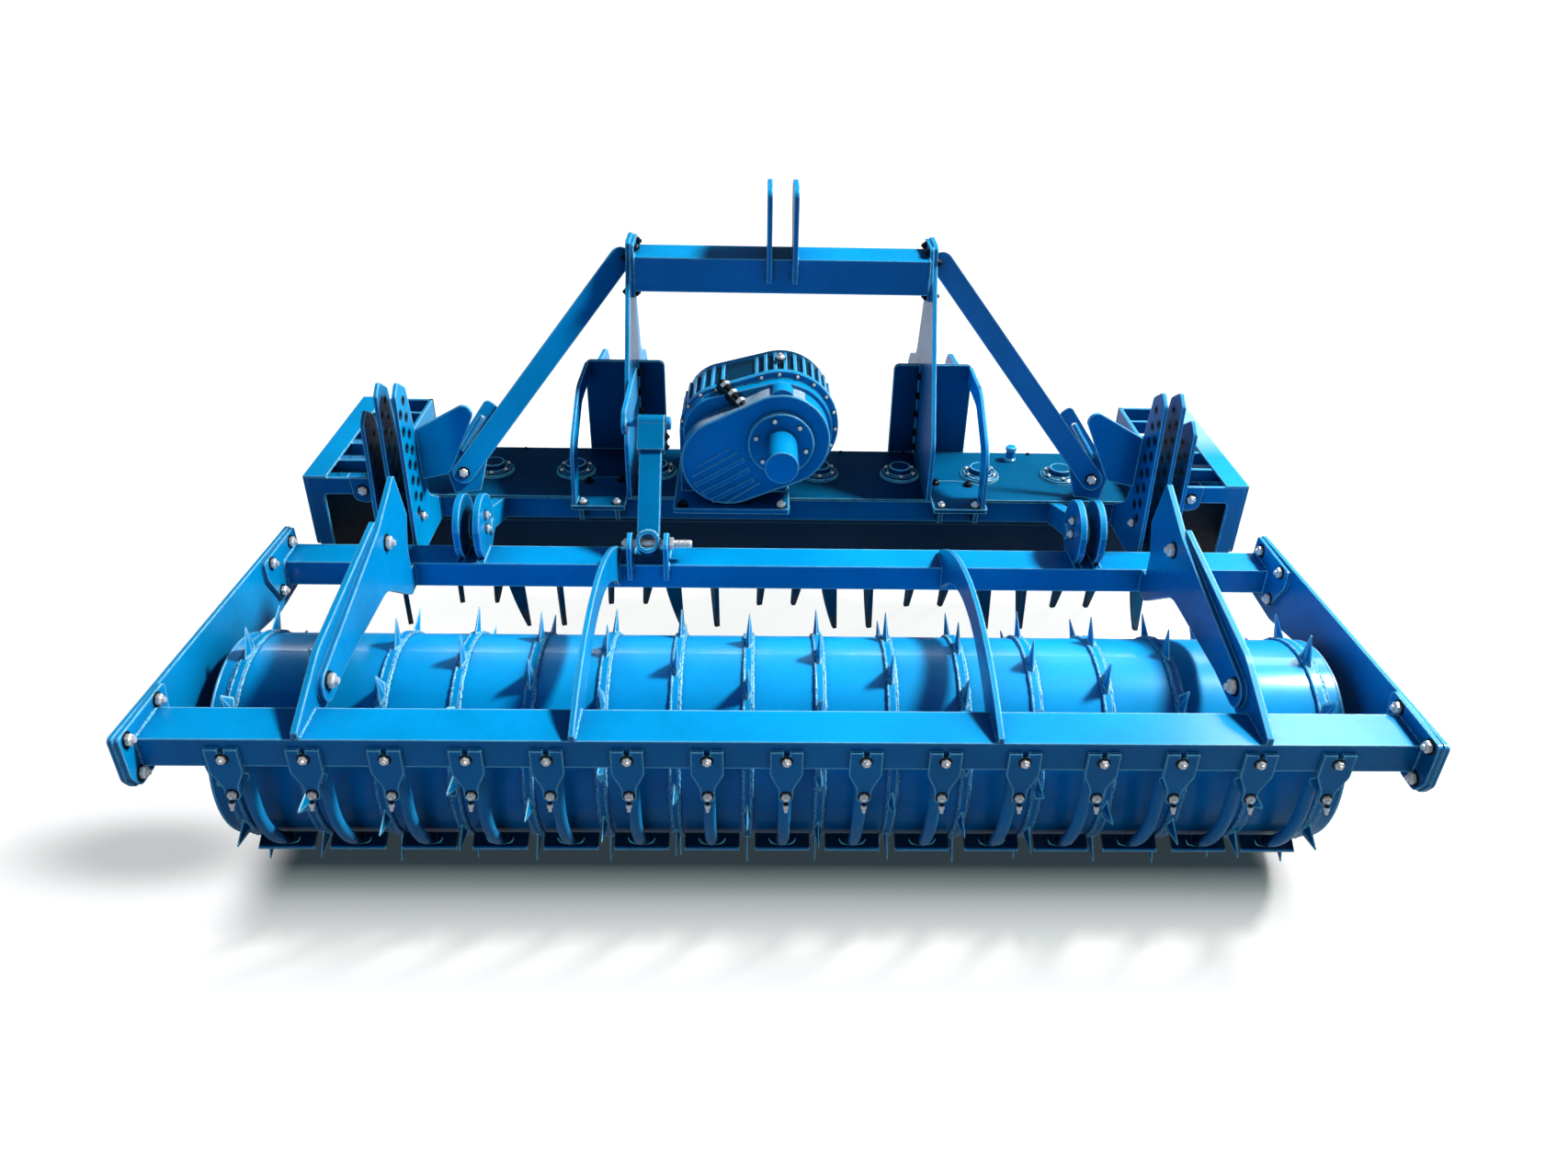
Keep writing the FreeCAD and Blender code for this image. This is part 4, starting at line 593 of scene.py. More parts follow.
def fastener_tree(finish):
    """Washer, chamfered hexagon head and stud end on every point, each turned its own way."""
    s = Shape("fasteners_" + finish, fastener_sizes(BOLT))
    head_r, head_h = s.given("Head radius"), s.given("Head height")
    washer_r, washer_h = s.given("Washer radius"), s.given("Washer height")
    stud_r, stud_h = s.given("Stud radius"), s.given("Stud length")
    # The black washer is a real part whose darkness also stands in for the shadow ring round each head: partly painted
    # shade.
    washer = s.painted(s.cone(20, washer_r, washer_r * 0.96, washer_h, 0.0), "black")
    body = s.cone(6, head_r, head_r, head_h * HEAD_SIDE, washer_h)
    crown = s.cone(6, head_r, head_r * CHAMFER, head_h * (1 - HEAD_SIDE), washer_h + head_h * HEAD_SIDE)
    stud = s.cone(12, stud_r, stud_r * END_TAPER, stud_h, washer_h + head_h)
    one = s.joined(washer, s.painted(s.joined(body, crown, stud), finish))
    spin = s.node("FunctionNodeAxisAngleToRotation", None, {"Axis": (0, 0, 1), "Angle": s.named("spin")})
    turned = s.node("FunctionNodeRotateRotation", {"rotation_space": "LOCAL"}, {0: s.towards_facing(), 1: spin})
    size = s.named("size")
    return s.close(s.scattered(one, turned, Scale=s.vector(size, size, size)))


def weld_tree():
    """A rippled bead along every edge of the mesh."""
    s = Shape("weld_beads", {"Radius": 0.004, "Ripple": 0.008})
    path = s.node("GeometryNodeMeshToCurve", None, {"Mesh": s.given("Geometry")})
    path = s.node("GeometryNodeResampleCurve", {"mode": "LENGTH"}, {"Curve": path, "Length": s.given("Ripple") * 0.5})
    lumps = s.node("ShaderNodeTexNoise", {"noise_dimensions": "3D"}, {"Scale": 140.0, "Detail": 2.0})
    even = s.node("FunctionNodeRandomValue", {"data_type": "FLOAT"}, {2: 0.72, 3: 1.18, "Seed": 11}, 1)
    thick = s.given("Radius") * even * (lumps * 0.9 + 0.55)
    path = s.node("GeometryNodeSetCurveRadius", None, {"Curve": path, "Radius": thick})
    ring = s.node("GeometryNodeCurvePrimitiveCircle", None, {"Resolution": 7, "Radius": 1.0})
    bead = s.node("GeometryNodeCurveToMesh", None, {"Curve": path, "Profile Curve": ring,
                                                    "Scale": s.node("GeometryNodeInputRadius"), "Fill Caps": True})
    return s.close(bead, "weld", smooth=True)


def place_mesh(name, places):
    """Loose points with the facing, spin and size that the fasteners read. A place is (point, facing, size)."""
    mesh = bpy.data.meshes.new(name)
    mesh.from_pydata([tuple(p[0]) for p in places], [], [])
    for label, kind, member, values in (
            ("facing", "FLOAT_VECTOR", "vector", [c for p in places for c in Vector(p[1]).normalized()]),
            ("spin", "FLOAT", "value", [0.5 + GOLDEN_TURN * i for i in range(len(places))]),
            ("size", "FLOAT", "value", [p[2] for p in places])):
        mesh.attributes.new(label, kind, "POINT").data.foreach_set(member, values)
    return mesh


def path_mesh(name, paths):
    """Polylines as mesh edges; a path marked closed returns to its start."""
    mesh = bpy.data.meshes.new(name)
    points, edges = [], []
    for path, closed in paths:
        base = len(points)
        points += [tuple(p) for p in path]
        edges += [(base + i, base + i + 1) for i in range(len(path) - 1)]
        if closed:
            edges.append((base + len(path) - 1, base))
    mesh.from_pydata(points, edges, [])
    return mesh


def flip(point):
    return Vector((-point[0], point[1], point[2]))


def both_sides(places):
    """The places and their mirror images across the machine."""
    return places + [(flip(p[0]), flip(p[1]), *p[2:]) for p in places]


def beside(x, facing, size, *spots):
    """Fasteners in a plate that stands at x, from (y, z) spots."""
    return [((x, y, z), facing, size) for y, z in spots]


def on_top(z, size, *spots):
    """Fasteners that stand at height z, from (x, y) spots."""
    return [((x, y, z), UP, size) for x, y in spots]


def circle(count, radius, first=0.0):
    """Cosine and sine times radius, at even steps from the first angle."""
    angles = [first + 2 * math.pi * k / count for k in range(count)]
    return [(radius * math.cos(t), radius * math.sin(t)) for t in angles]


def round_drum(x, radius, count=96, first=0.0):
    """Points round the drum's axis, at x."""
    return [(x, ROLLER.y + c, ROLLER.z + s) for c, s in circle(count, radius, first)]


def round_rotor(x, radius, count, first=0.0):
    """(x, y) points round the axis of the rotor at x."""
    return [(x + c, ROTOR_Y + s) for c, s in circle(count, radius, first)]


class Solid:
    """Closed shapes gathered into one mesh."""

    def __init__(self):
        self.bm = bmesh.new()

    def skin(self, rings, closed=False):
        """Join rings of equally many points; the first and last are capped unless the skin closes on itself."""
        made = [[self.bm.verts.new(point) for point in ring] for ring in rings]
        count = len(rings[0])
        for a, b in list(zip(made, made[1:])) + ([(made[-1], made[0])] if closed else []):
            for i in range(count):
                j = (i + 1) % count
                self.bm.faces.new((a[i], a[j], b[j], b[i]))
        if not closed:
            self.bm.faces.new(list(reversed(made[0])))
            self.bm.faces.new(made[-1])
        return self

    def turned(self, base, axis, profile, sides=32):
        """A profile of (radius, height) spun about an axis."""
        base, axis = Vector(base), Vector(axis).normalized()
        u = axis.orthogonal().normalized()
        v = axis.cross(u)
        angles = [2 * math.pi * i / sides for i in range(sides)]
        return self.skin([[base + axis * height + (u * math.cos(t) + v * math.sin(t)) * radius for t in angles]
                          for radius, height in profile])

    def slab(self, outline, depth):
        """A flat outline pushed along depth."""
        return self.skin([[Vector(p) for p in outline], [Vector(p) + Vector(depth) for p in outline]])

    def block(self, low, high):
        (x0, y0, z0), (x1, y1, z1) = low, high
        return self.slab([(x0, y0, z0), (x1, y0, z0), (x1, y1, z0), (x0, y1, z0)], (0, 0, z1 - z0))

    def wire(self, path, radius, sides=8, closed=False):
        """A round bar along a path."""
        path = [Vector(p) for p in path]
        count = len(path)
        side, rings = None, []
        for i, point in enumerate(path):
            ahead = path[(i + 1) % count] if closed or i + 1 < count else point
            back = path[i - 1] if closed or i else point
            along = (ahead - back).normalized()
            side = along.orthogonal() if side is None else side - along * side.dot(along)
            side.normalize()
            other = along.cross(side)
            rings.append([point + (side * math.cos(t) + other * math.sin(t)) * radius
                          for t in (2 * math.pi * k / sides for k in range(sides))])
        return self.skin(rings, closed)

    def mirror(self):
        """Adds the mirror image across the machine."""
        verts = {v: self.bm.verts.new(flip(v.co)) for v in list(self.bm.verts)}
        for face in list(self.bm.faces):
            self.bm.faces.new([verts[v] for v in reversed(face.verts)])
        return self

    def settle(self, name, body, finish, angle=30, bevel=0.0, replaced=()):
        """Make the shapes a finished piece, with its edges of more than angle degrees kept sharp."""
        limit = math.radians(angle)
        bmesh.ops.recalc_face_normals(self.bm, faces=self.bm.faces)
        if bevel:
            sharp = [e for e in self.bm.edges if e.calc_face_angle(0) > limit]
            bmesh.ops.bevel(self.bm, geom=sharp, offset=bevel, segments=2, profile=0.6, affect="EDGES",
                            clamp_overlap=True)
        mesh = bpy.data.meshes.new(name)
        self.bm.to_mesh(mesh)
        self.bm.free()
        mesh.shade_smooth()
        mesh.set_sharp_from_angle(angle=limit)
        settle(name, mesh, body, finish, replaced)


def facing_back(y, corners, steps=5):
    """An outline of (x, z, radius) corners standing at y."""
    outline = []
    for i, (*here, radius) in enumerate(corners):
        here = Vector(here)
        if radius <= 0:
            outline.append(here)
            continue
        back, ahead = Vector(corners[i - 1][:2]) - here, Vector(corners[(i + 1) % len(corners)][:2]) - here
        half = back.angle(ahead) / 2
        reach = min(radius / math.tan(half), 0.49 * back.length, 0.49 * ahead.length)
        start, end = here + back.normalized() * reach, here + ahead.normalized() * reach
        for t in (k / steps for k in range(steps + 1)):
            outline.append(start * (1 - t) ** 2 + here * 2 * t * (1 - t) + end * t ** 2)
    return [Vector((p.x, y, p.y)) for p in outline]


def arc(centre, radius, start, end, steps, y):
    """Points on a circle that stands across Y, angles in degrees from +X towards +Z."""
    return [Vector((centre[0] + radius * math.cos(math.radians(a)), y, centre[1] + radius * math.sin(math.radians(a))))
            for a in (start + (end - start) * i / steps for i in range(steps + 1))]


def two_lobes(a, ra, b, rb, y, steps=40):
    """Outline round two circles and their common sides, as the gear case has."""
    gap, lean = math.hypot(b[0] - a[0], b[1] - a[1]), math.degrees(math.atan2(b[1] - a[1], b[0] - a[0]))
    side = math.degrees(math.acos((ra - rb) / gap))
    return arc(a, ra, lean + side - 360, lean - side, steps, y) + arc(b, rb, lean - side, lean + side, steps, y)


def open_path(*points):
    return [Vector(p) for p in points], False


def tube_end(x, y0, y1, z0, z1):
    """The path round the end of a square tube."""
    return [(x, y0, z0), (x, y1, z0), (x, y1, z1), (x, y0, z1)], True


def with_mirrored(paths):
    return paths + [([flip(p) for p in path], closed) for path, closed in paths]


# ---------------------------------------------------------------- operators
class HARROW_OT_finishes(bpy.types.Operator):
    """Make the finishes and put them on the machine's plates, tubes and shafts"""
    bl_idname = "harrow.finishes"
    bl_label = "Paint the machine"

    def execute(self, context):
        make_finishes(context.scene.harrow_paint)
        for name, node in NODES.items():
            kind = "tine" if name.startswith("rotor_") else NODE_FINISH.get(name, "blue")
            node.data.materials.clear()
            node.data.materials.append(FINISHES[kind])
        return {"FINISHED"}


class HARROW_OT_fasteners(bpy.types.Operator):
    """Make the bolts, nuts, washers and grease nipples of every body"""
    bl_idname = "harrow.fasteners"
    bl_label = "Bolts and nipples"

    def execute(self, context):
        bolt = context.scene.harrow_sizes.bolt
        sizes, nipple = fastener_sizes(BOLT, bolt), fastener_sizes(NIPPLE, bolt)
        trees = {finish: fastener_tree(finish) for finish in ("zinc", "black")}

        ends = beside(-END_PLATE_IN, RIGHT, 1.0, (-0.884, 0.686), (-1.036, 0.688), (-1.026, 0.583),
                      (-0.016, 0.628), (-0.165, 0.638), (-0.140, 0.528))
        arms = beside(-ARM_IN, RIGHT, 1.25, *ARM_BOLTS) + beside(-ARM_OUT, LEFT, 1.25, *ARM_BOLTS)
        hinge = beside(-HINGE_EAR_IN, RIGHT, 0.80, (0.004, 0.716), (-0.004, 0.674))
        bearing = [(p, LEFT, 0.9) for p in round_drum(-END_PLATE_OUT, 0.074, 4, math.pi / 4)]
        tabs = [((x, SCRAPER_TAB_Y, 0.6225), REARWARD, 0.76) for x in SCRAPERS]
        necks = [((x, SCRAPER_TAB_Y, 0.5140), REARWARD, 0.74) for x in SCRAPERS]
        eye = [((STRUT_X - LUG_OUT, *STRUT_EYE.yz), LEFT, 1.0)]
        frame_bolts = both_sides(ends + arms + hinge + bearing) + tabs + necks + eye
        nipples = [((x, SCRAPER_TAB_Y - 0.012, 0.503), (0, -0.45, -1), 1.0) for x in SCRAPERS]

        foot_rear = on_top(0.615, 0.86, (0.540, 0.283), (0.652, 0.283))
        foot_front = on_top(0.615, 0.86, (0.540, 0.452), (0.652, 0.440))
        plates = [((-1.146, 0.151, 0.632), RIGHT, 0.85), ((-1.334, 0.192, 0.700), REARWARD, 0.95),
                  (flip(BRACE_LOW - BRACE_NORMAL * 0.0005), flip(-BRACE_NORMAL), 1.0)]
        base = on_top(GEAR_BASE_Z, 1.0, (0.004, 0.266), (-0.322, 0.266), (0.004, 0.648), (-0.322, 0.648))
        breather = on_top(1.042, 0.95, (-0.003, 0.500))
        guard = [(p, REARWARD, 0.50) for p in arc(SHAFT_BOSS, 0.083, 45, 345, 5, 0.256)]
        case = [(p, REARWARD, 0.40) for p in
                arc(CASE_MAIN, 0.180, -40, 130, 9, 0.384) + arc(CASE_LOBE, 0.139, 100, 215, 5, 0.384)]
        domes = [spot for x in OPEN_ROTORS for spot in on_top(0.614, 0.42, *round_rotor(x, 0.052, 6, math.pi / 6))]
        zinc = both_sides(foot_rear + plates) + base[:1] + breather + guard + case + domes

        tower = beside(MAST_OUT, RIGHT, 0.80, (0.668, 1.318), (0.668, 1.206), (0.752, 1.318), (0.752, 1.206))
        tower += beside(MAST_FLANGE, LEFT, 0.80, (0.674, 1.350), (0.655, 1.209), (0.758, 1.350), (0.748, 1.209))
        column = beside(MAST_IN, LEFT, 0.82, *((0.712, z) for z in (0.905, 0.832, 0.762, 0.690, 0.634)))
        hitch = [((x, HITCH_FRONT, z), FORWARD, 0.9) for x in (0.440, 0.560, 0.650) for z in (0.56, 0.66, 0.88)]
        edge = on_top(0.600, 0.40, *((x, 0.728) for x in (-1.38 + 0.23 * k for k in range(13))
                                     if not under_gearbox(x) and not 0.47 < abs(x) < 0.74 and abs(x) < 1.02))
        black = both_sides(foot_front + tower + column + hitch) + base[1:] + edge
        sleeve = beside(STRUT_X + 0.042, RIGHT, 0.72, (0.179, 0.904), (0.161, 0.878))

        for label, body, finish, places, values in (
                ("frame_bolts", "roller_frame", "zinc", frame_bolts, sizes),
                ("neck_nipples", "roller_frame", "zinc", nipples, nipple),
                ("harrow_zinc_bolts", "harrow", "zinc", zinc, sizes),
                ("harrow_black_bolts", "harrow", "black", black, sizes),
                ("sleeve_bolts", "strut_sleeve", "black", sleeve, sizes)):
            grown(label, place_mesh(label, places), trees[finish], values, body, finish)
        for i, x in enumerate(ROTORS):
            body = f"rotor_{i + 1:02d}"
            grown(body + "_bolts", place_mesh(body + "_bolts", self.tine_bolts(i, x)), trees["black"], sizes, body,
                  "black")
        return {"FINISHED"}

    def tine_bolts(self, i, x):
        """Two bolts through each tine, on the outer face of the holder."""
        places = []
        for side in (0.0, math.pi):
            turn = Matrix.Rotation(math.radians(90 * (i % 2) + 20) + side, 3, "Z")
            for along in (-0.019, 0.019):
                spot = turn @ Vector((0.1181, along, 0.369)) + Vector((x, ROTOR_Y, 0))
                places.append((spot, turn @ Vector(RIGHT), 0.92))
        return places


class HARROW_OT_welds(bpy.types.Operator):
    """Lay the weld beads along the joints of plates, tubes and rings"""
    bl_idname = "harrow.welds"
    bl_label = "Weld beads"

    def execute(self, context):
        sizes = context.scene.harrow_sizes
        tree = weld_tree()
        rings = [(round_drum(x + side * 0.0115, DRUM_R + 0.0035), True) for x in RINGS for side in (-1, 1)]
        drum_ends = [(round_drum(side * (DRUM_HALF - 0.036), DRUM_R + 0.0005), True) for side in (-1, 1)]
        for label, owner, paths, radius in (
                ("ring_welds", "roller", rings, 1.15), ("drum_end_welds", "roller", drum_ends, 0.7),
                ("frame_welds", "roller_frame", self.frame_paths(), 0.95),
                ("harrow_welds", "harrow", self.harrow_paths(), 0.8),
                ("eye_welds", "strut_rod", self.eye_paths(), 1.2)):
            values = {"Radius": sizes.weld * radius, "Ripple": sizes.bead_step * (1.6 if owner == "roller" else 1.0)}
            grown(label, path_mesh(label, paths), tree, values, owner, "weld")
        return {"FINISHED"}

    def frame_paths(self):
        """Beads of the ribs, arms, ears and lugs on the two beams, and of the beams on the end plates."""
        back, face, low, high = REAR_BEAM
        paths = []
        for x0, x1 in (INNER_RIB, (ARM_OUT - ARM_PLATE_T, ARM_OUT)):
            for x in (x0, x1):
                paths.append(open_path((x, back + 0.004, high), (x, face, high), (x, face, low + 0.024)))
            paths.append(open_path((x0, back + 0.002, high), (x1, back + 0.002, high)))
        back, face, low, high = FRONT_BEAM
        for x in INNER_RIB:
            paths.append(open_path((x, back, low + 0.008), (x, back, high), (x, face - 0.022, high)))
        for x in (ARM_IN, ARM_IN + ARM_PLATE_T):
            paths.append(open_path((x, back, low + 0.010), (x, back, high - 0.001)))
        for x in (HINGE_EAR_IN + across for across in HINGE_EARS):
            paths.append(open_path((x, back + 0.006, high), (x, face, high), (x, face, low + 0.012)))
        paths = with_mirrored(paths + [tube_end(1.5050, *REAR_BEAM), tube_end(1.5050, *FRONT_BEAM)])
        for x in (STRUT_X - LUG_OUT, STRUT_X - LUG_IN, STRUT_X + LUG_IN, STRUT_X + LUG_OUT):
            paths.append(open_path((x, back, low + 0.036), (x, back, high), (x, face - 0.006, high)))
        return paths

    def harrow_paths(self):
        """Beads of the top-link lugs, mast feet, trough lugs and tower beam."""
        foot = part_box("mast_feet")
        paths = [open_path((x, 0.620, 1.262), (x, 0.620, 1.334), (x, 0.772, 1.334)) for x in (0.034, 0.050)]
        paths.append(open_path((MAST_OUT, foot[0][1] + 0.004, 0.616), (MAST_OUT, foot[1][1], 0.616)))
        paths.append(open_path((0.672, foot[0][1] + 0.010, 0.616), (0.672, 0.340, 0.616)))
        for x in (1.146, 1.158, 1.200, 1.212, 1.254, 1.266):
            paths.append(open_path((x, 0.365, 0.520), (x, 0.365, 0.588)))
        return with_mirrored(paths + [tube_end(0.4830, 0.620, 0.775, 1.222, 1.334)])

    def eye_paths(self):
        """Beads over the strut's eye."""
        turn = Matrix.Rotation(STRUT_TURN, 3, "X")
        eye_r = 0.036
        over = [(x, eye_r * math.sqrt(max(0.0, 1 - (x / eye_r) ** 2)) + 0.001)
                for x in (-0.032, -0.020, -0.008, 0.008, 0.020, 0.032)]
        return [open_path(*(STRUT_EYE + turn @ Vector((x, y, z)) for x, z in over)) for y in (-0.018, 0.018)]


class HARROW_OT_gearbox(bpy.types.Operator):
    """Dress the gearbox: fins, ribs, rims, clamp and the splined input shaft"""
    bl_idname = "harrow.gearbox"
    bl_label = "Gearbox castings"

    def execute(self, context):
        rim = Solid()
        rim.wire(two_lobes(GEAR_MAIN, 0.154, GEAR_LOBE, 0.147, 0.2715), 0.0042, closed=True)
        rim.wire(arc(SHAFT_BOSS, 0.1035, 0, 352.5, 47, 0.2565), 0.0032, closed=True)
        rim.wire(arc(SHAFT_BOSS, 0.0505, 0, 352.5, 47, 0.0875), 0.0022, closed=True)
        rim.settle("case_rims", "harrow", "cast", 60)
        self.ribs()
        self.fins()
        self.band()
        self.clamp()
        # rims on the rotor domes in the lighter fin paint: painted highlight arcs
        domes = Solid()
        for x in OPEN_ROTORS:
            for radius, z in ((0.0340, 0.6325), (0.0640, 0.6065)):
                domes.wire([(*p, z) for p in round_rotor(x, radius, 40)], 0.0028, 6, closed=True)
        domes.settle("dome_rim_highlights", "harrow", "fin", 60)
        neck = [(0.021, 0.0), (0.021, 0.006), (0.017, 0.009), (0.0165, 0.040), (0.020, 0.041), (0.020, 0.050),
                (0.016, 0.054)]
        Solid().turned((0.845, ROTOR_Y + 0.130, 0.601), UP, neck, 28).settle("oil_filler", "harrow", "blue")
        self.input_shaft()
        return {"FINISHED"}

    def ribs(self):
        """Pressed ribs on the cover's small end, from wide and narrow (half width, height)."""
        cover_y, narrow, wide = 0.2701, (0.0028, 0.0026), (0.0085, 0.0042)
        ribs = Solid()
        for (ax, az), (bx, bz), (half, height) in (
                ((-0.270, 0.758), (-0.165, 0.822), narrow), ((-0.287, 0.722), (-0.140, 0.810), narrow),
                ((-0.279, 0.690), (-0.118, 0.787), wide), ((-0.256, 0.660), (-0.100, 0.752), wide),
                ((-0.225, 0.634), (-0.086, 0.716), wide)):
            a, b = Vector((ax, cover_y, az)), Vector((bx, cover_y, bz))
            side = (b - a).normalized().cross(Vector(FORWARD)) * half
            ends = [a - side, b - side, b + side, a + side]
            ribs.skin([ends, [p + Vector((0, -height, 0)) + ((a + b) / 2 - p) * 0.03 for p in ends]])
        ribs.wire([(-0.178, 0.2690, 0.628), (-0.066, 0.2690, 0.703)], 0.0030, 6)
        ribs.settle("case_ribs", "harrow", "cast", 40)

    def fins(self):
        """Cooling fins round the housing, each facing away from its round end's centre."""
        s = Shape("case_fins", {"Width": 0.011, "Height": 0.012, "Length": 0.150})
        block = s.node("GeometryNodeMeshCube", None,
                       {"Size": s.vector(s.given("Width"), s.given("Length"), s.given("Height"))})
        tree = s.close(s.scattered(block, s.towards_facing(pivot_axis="Y")), "fin")
        places = []
        for centre, radius, start, end, count in ((CASE_MAIN, 0.171, 22, 128, 11), (CASE_LOBE, 0.135, 78, 205, 10)):
            for point in arc(centre, radius, start, end, count - 1, 0.502):
                places.append((point, point - Vector((centre[0], 0.502, centre[1])), 1.0))
        grown("case_fins", place_mesh("case_fins", places), tree, {"Width": 0.011, "Height": 0.016, "Length": 0.180},
              "harrow", "fin")

    def band(self):
        """The pale strip along the top of the cover's cast side wall: a painted highlight where that wall is lit."""
        rows = []
        for centre, radius, start, end, steps in ((GEAR_MAIN, 0.1578, 62, 118, 14), (GEAR_LOBE, 0.1508, 112, 182, 18)):
            for p in arc(centre, radius, start, end, steps, 0.2745):
                inset = (p - Vector((centre[0], p.y, centre[1]))).normalized() * 0.003
                front = p + Vector((0, 0.064, 0))
                rows.append([p, front, front - inset, p - inset])
        Solid().skin(rows).settle("case_band", "harrow", "pale", 40)

    def clamp(self):
        """The black clamp on the housing's shoulder and its three nuts."""
        start, end = Vector((-0.195, 0.380, 1.004)), Vector((-0.120, 0.296, 0.955))
        along = (end - start).normalized()
        side = along.cross(Vector(UP)).normalized() * 0.017
        over = side.cross(along).normalized() * 0.018
        clamp = Solid().skin([[p - side - over, p + side - over, p + side + over * 0.4, p - side + over * 0.4]
                              for p in (start, end)])
        clamp.wire([start + over * 0.2, end + over * 0.2], 0.0125, 10)
        clamp.settle("case_clamp", "harrow", "black", bevel=0.0015)
        nuts = Solid()
        for k in range(3):
            centre = start.lerp(end, (k + 0.5) / 3) + over * 0.35
            nuts.turned(centre - along * 0.007, along,
                        [(0.0155, 0.0), (0.0175, 0.002), (0.0175, 0.011), (0.0155, 0.013)], 6)
        nuts.settle("clamp_nuts", "harrow", "zinc", 25)

    def input_shaft(self):
        """Six splines, a latch groove and a chamfered end."""
        (_, y0, z0), (_, y1, z1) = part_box("input_shaft")
        z = (z0 + z1) / 2
        shaft = Solid().turned((0, y0, z), FORWARD, [(0.0235, 0.0), (0.0235, y1 - y0 - 0.151)])
        root, crest = 0.0148, 0.0174
        section = [(radius, math.radians(60 * (k + part))) for k in range(6)
                   for part, radius in ((-0.5, root), (-0.28, root), (-0.22, crest), (0.22, crest), (0.28, root))]
        lengthwise = ((0.1515, 1.0), (0.042, 1.0), (0.039, 0.84), (0.031, 0.84), (0.028, 1.0), (0.004, 1.0), (0, 0.90))
        shaft.skin([[Vector((r * grow * math.cos(t), y1 - back, z + r * grow * math.sin(t))) for r, t in section]
                    for back, grow in lengthwise])
        shaft.settle("splined_shaft", "input_shaft", "steel", replaced=["input_shaft"])
        seal = [(0.0665, 0.0), (0.0665, 0.008), (0.062, 0.0105), (0.030, 0.0105), (0.0275, 0.007), (0.0275, 0.0)]
        Solid().turned((0, 0.676, z), FORWARD, seal, 40).settle("nose_seal", "harrow", "cast")


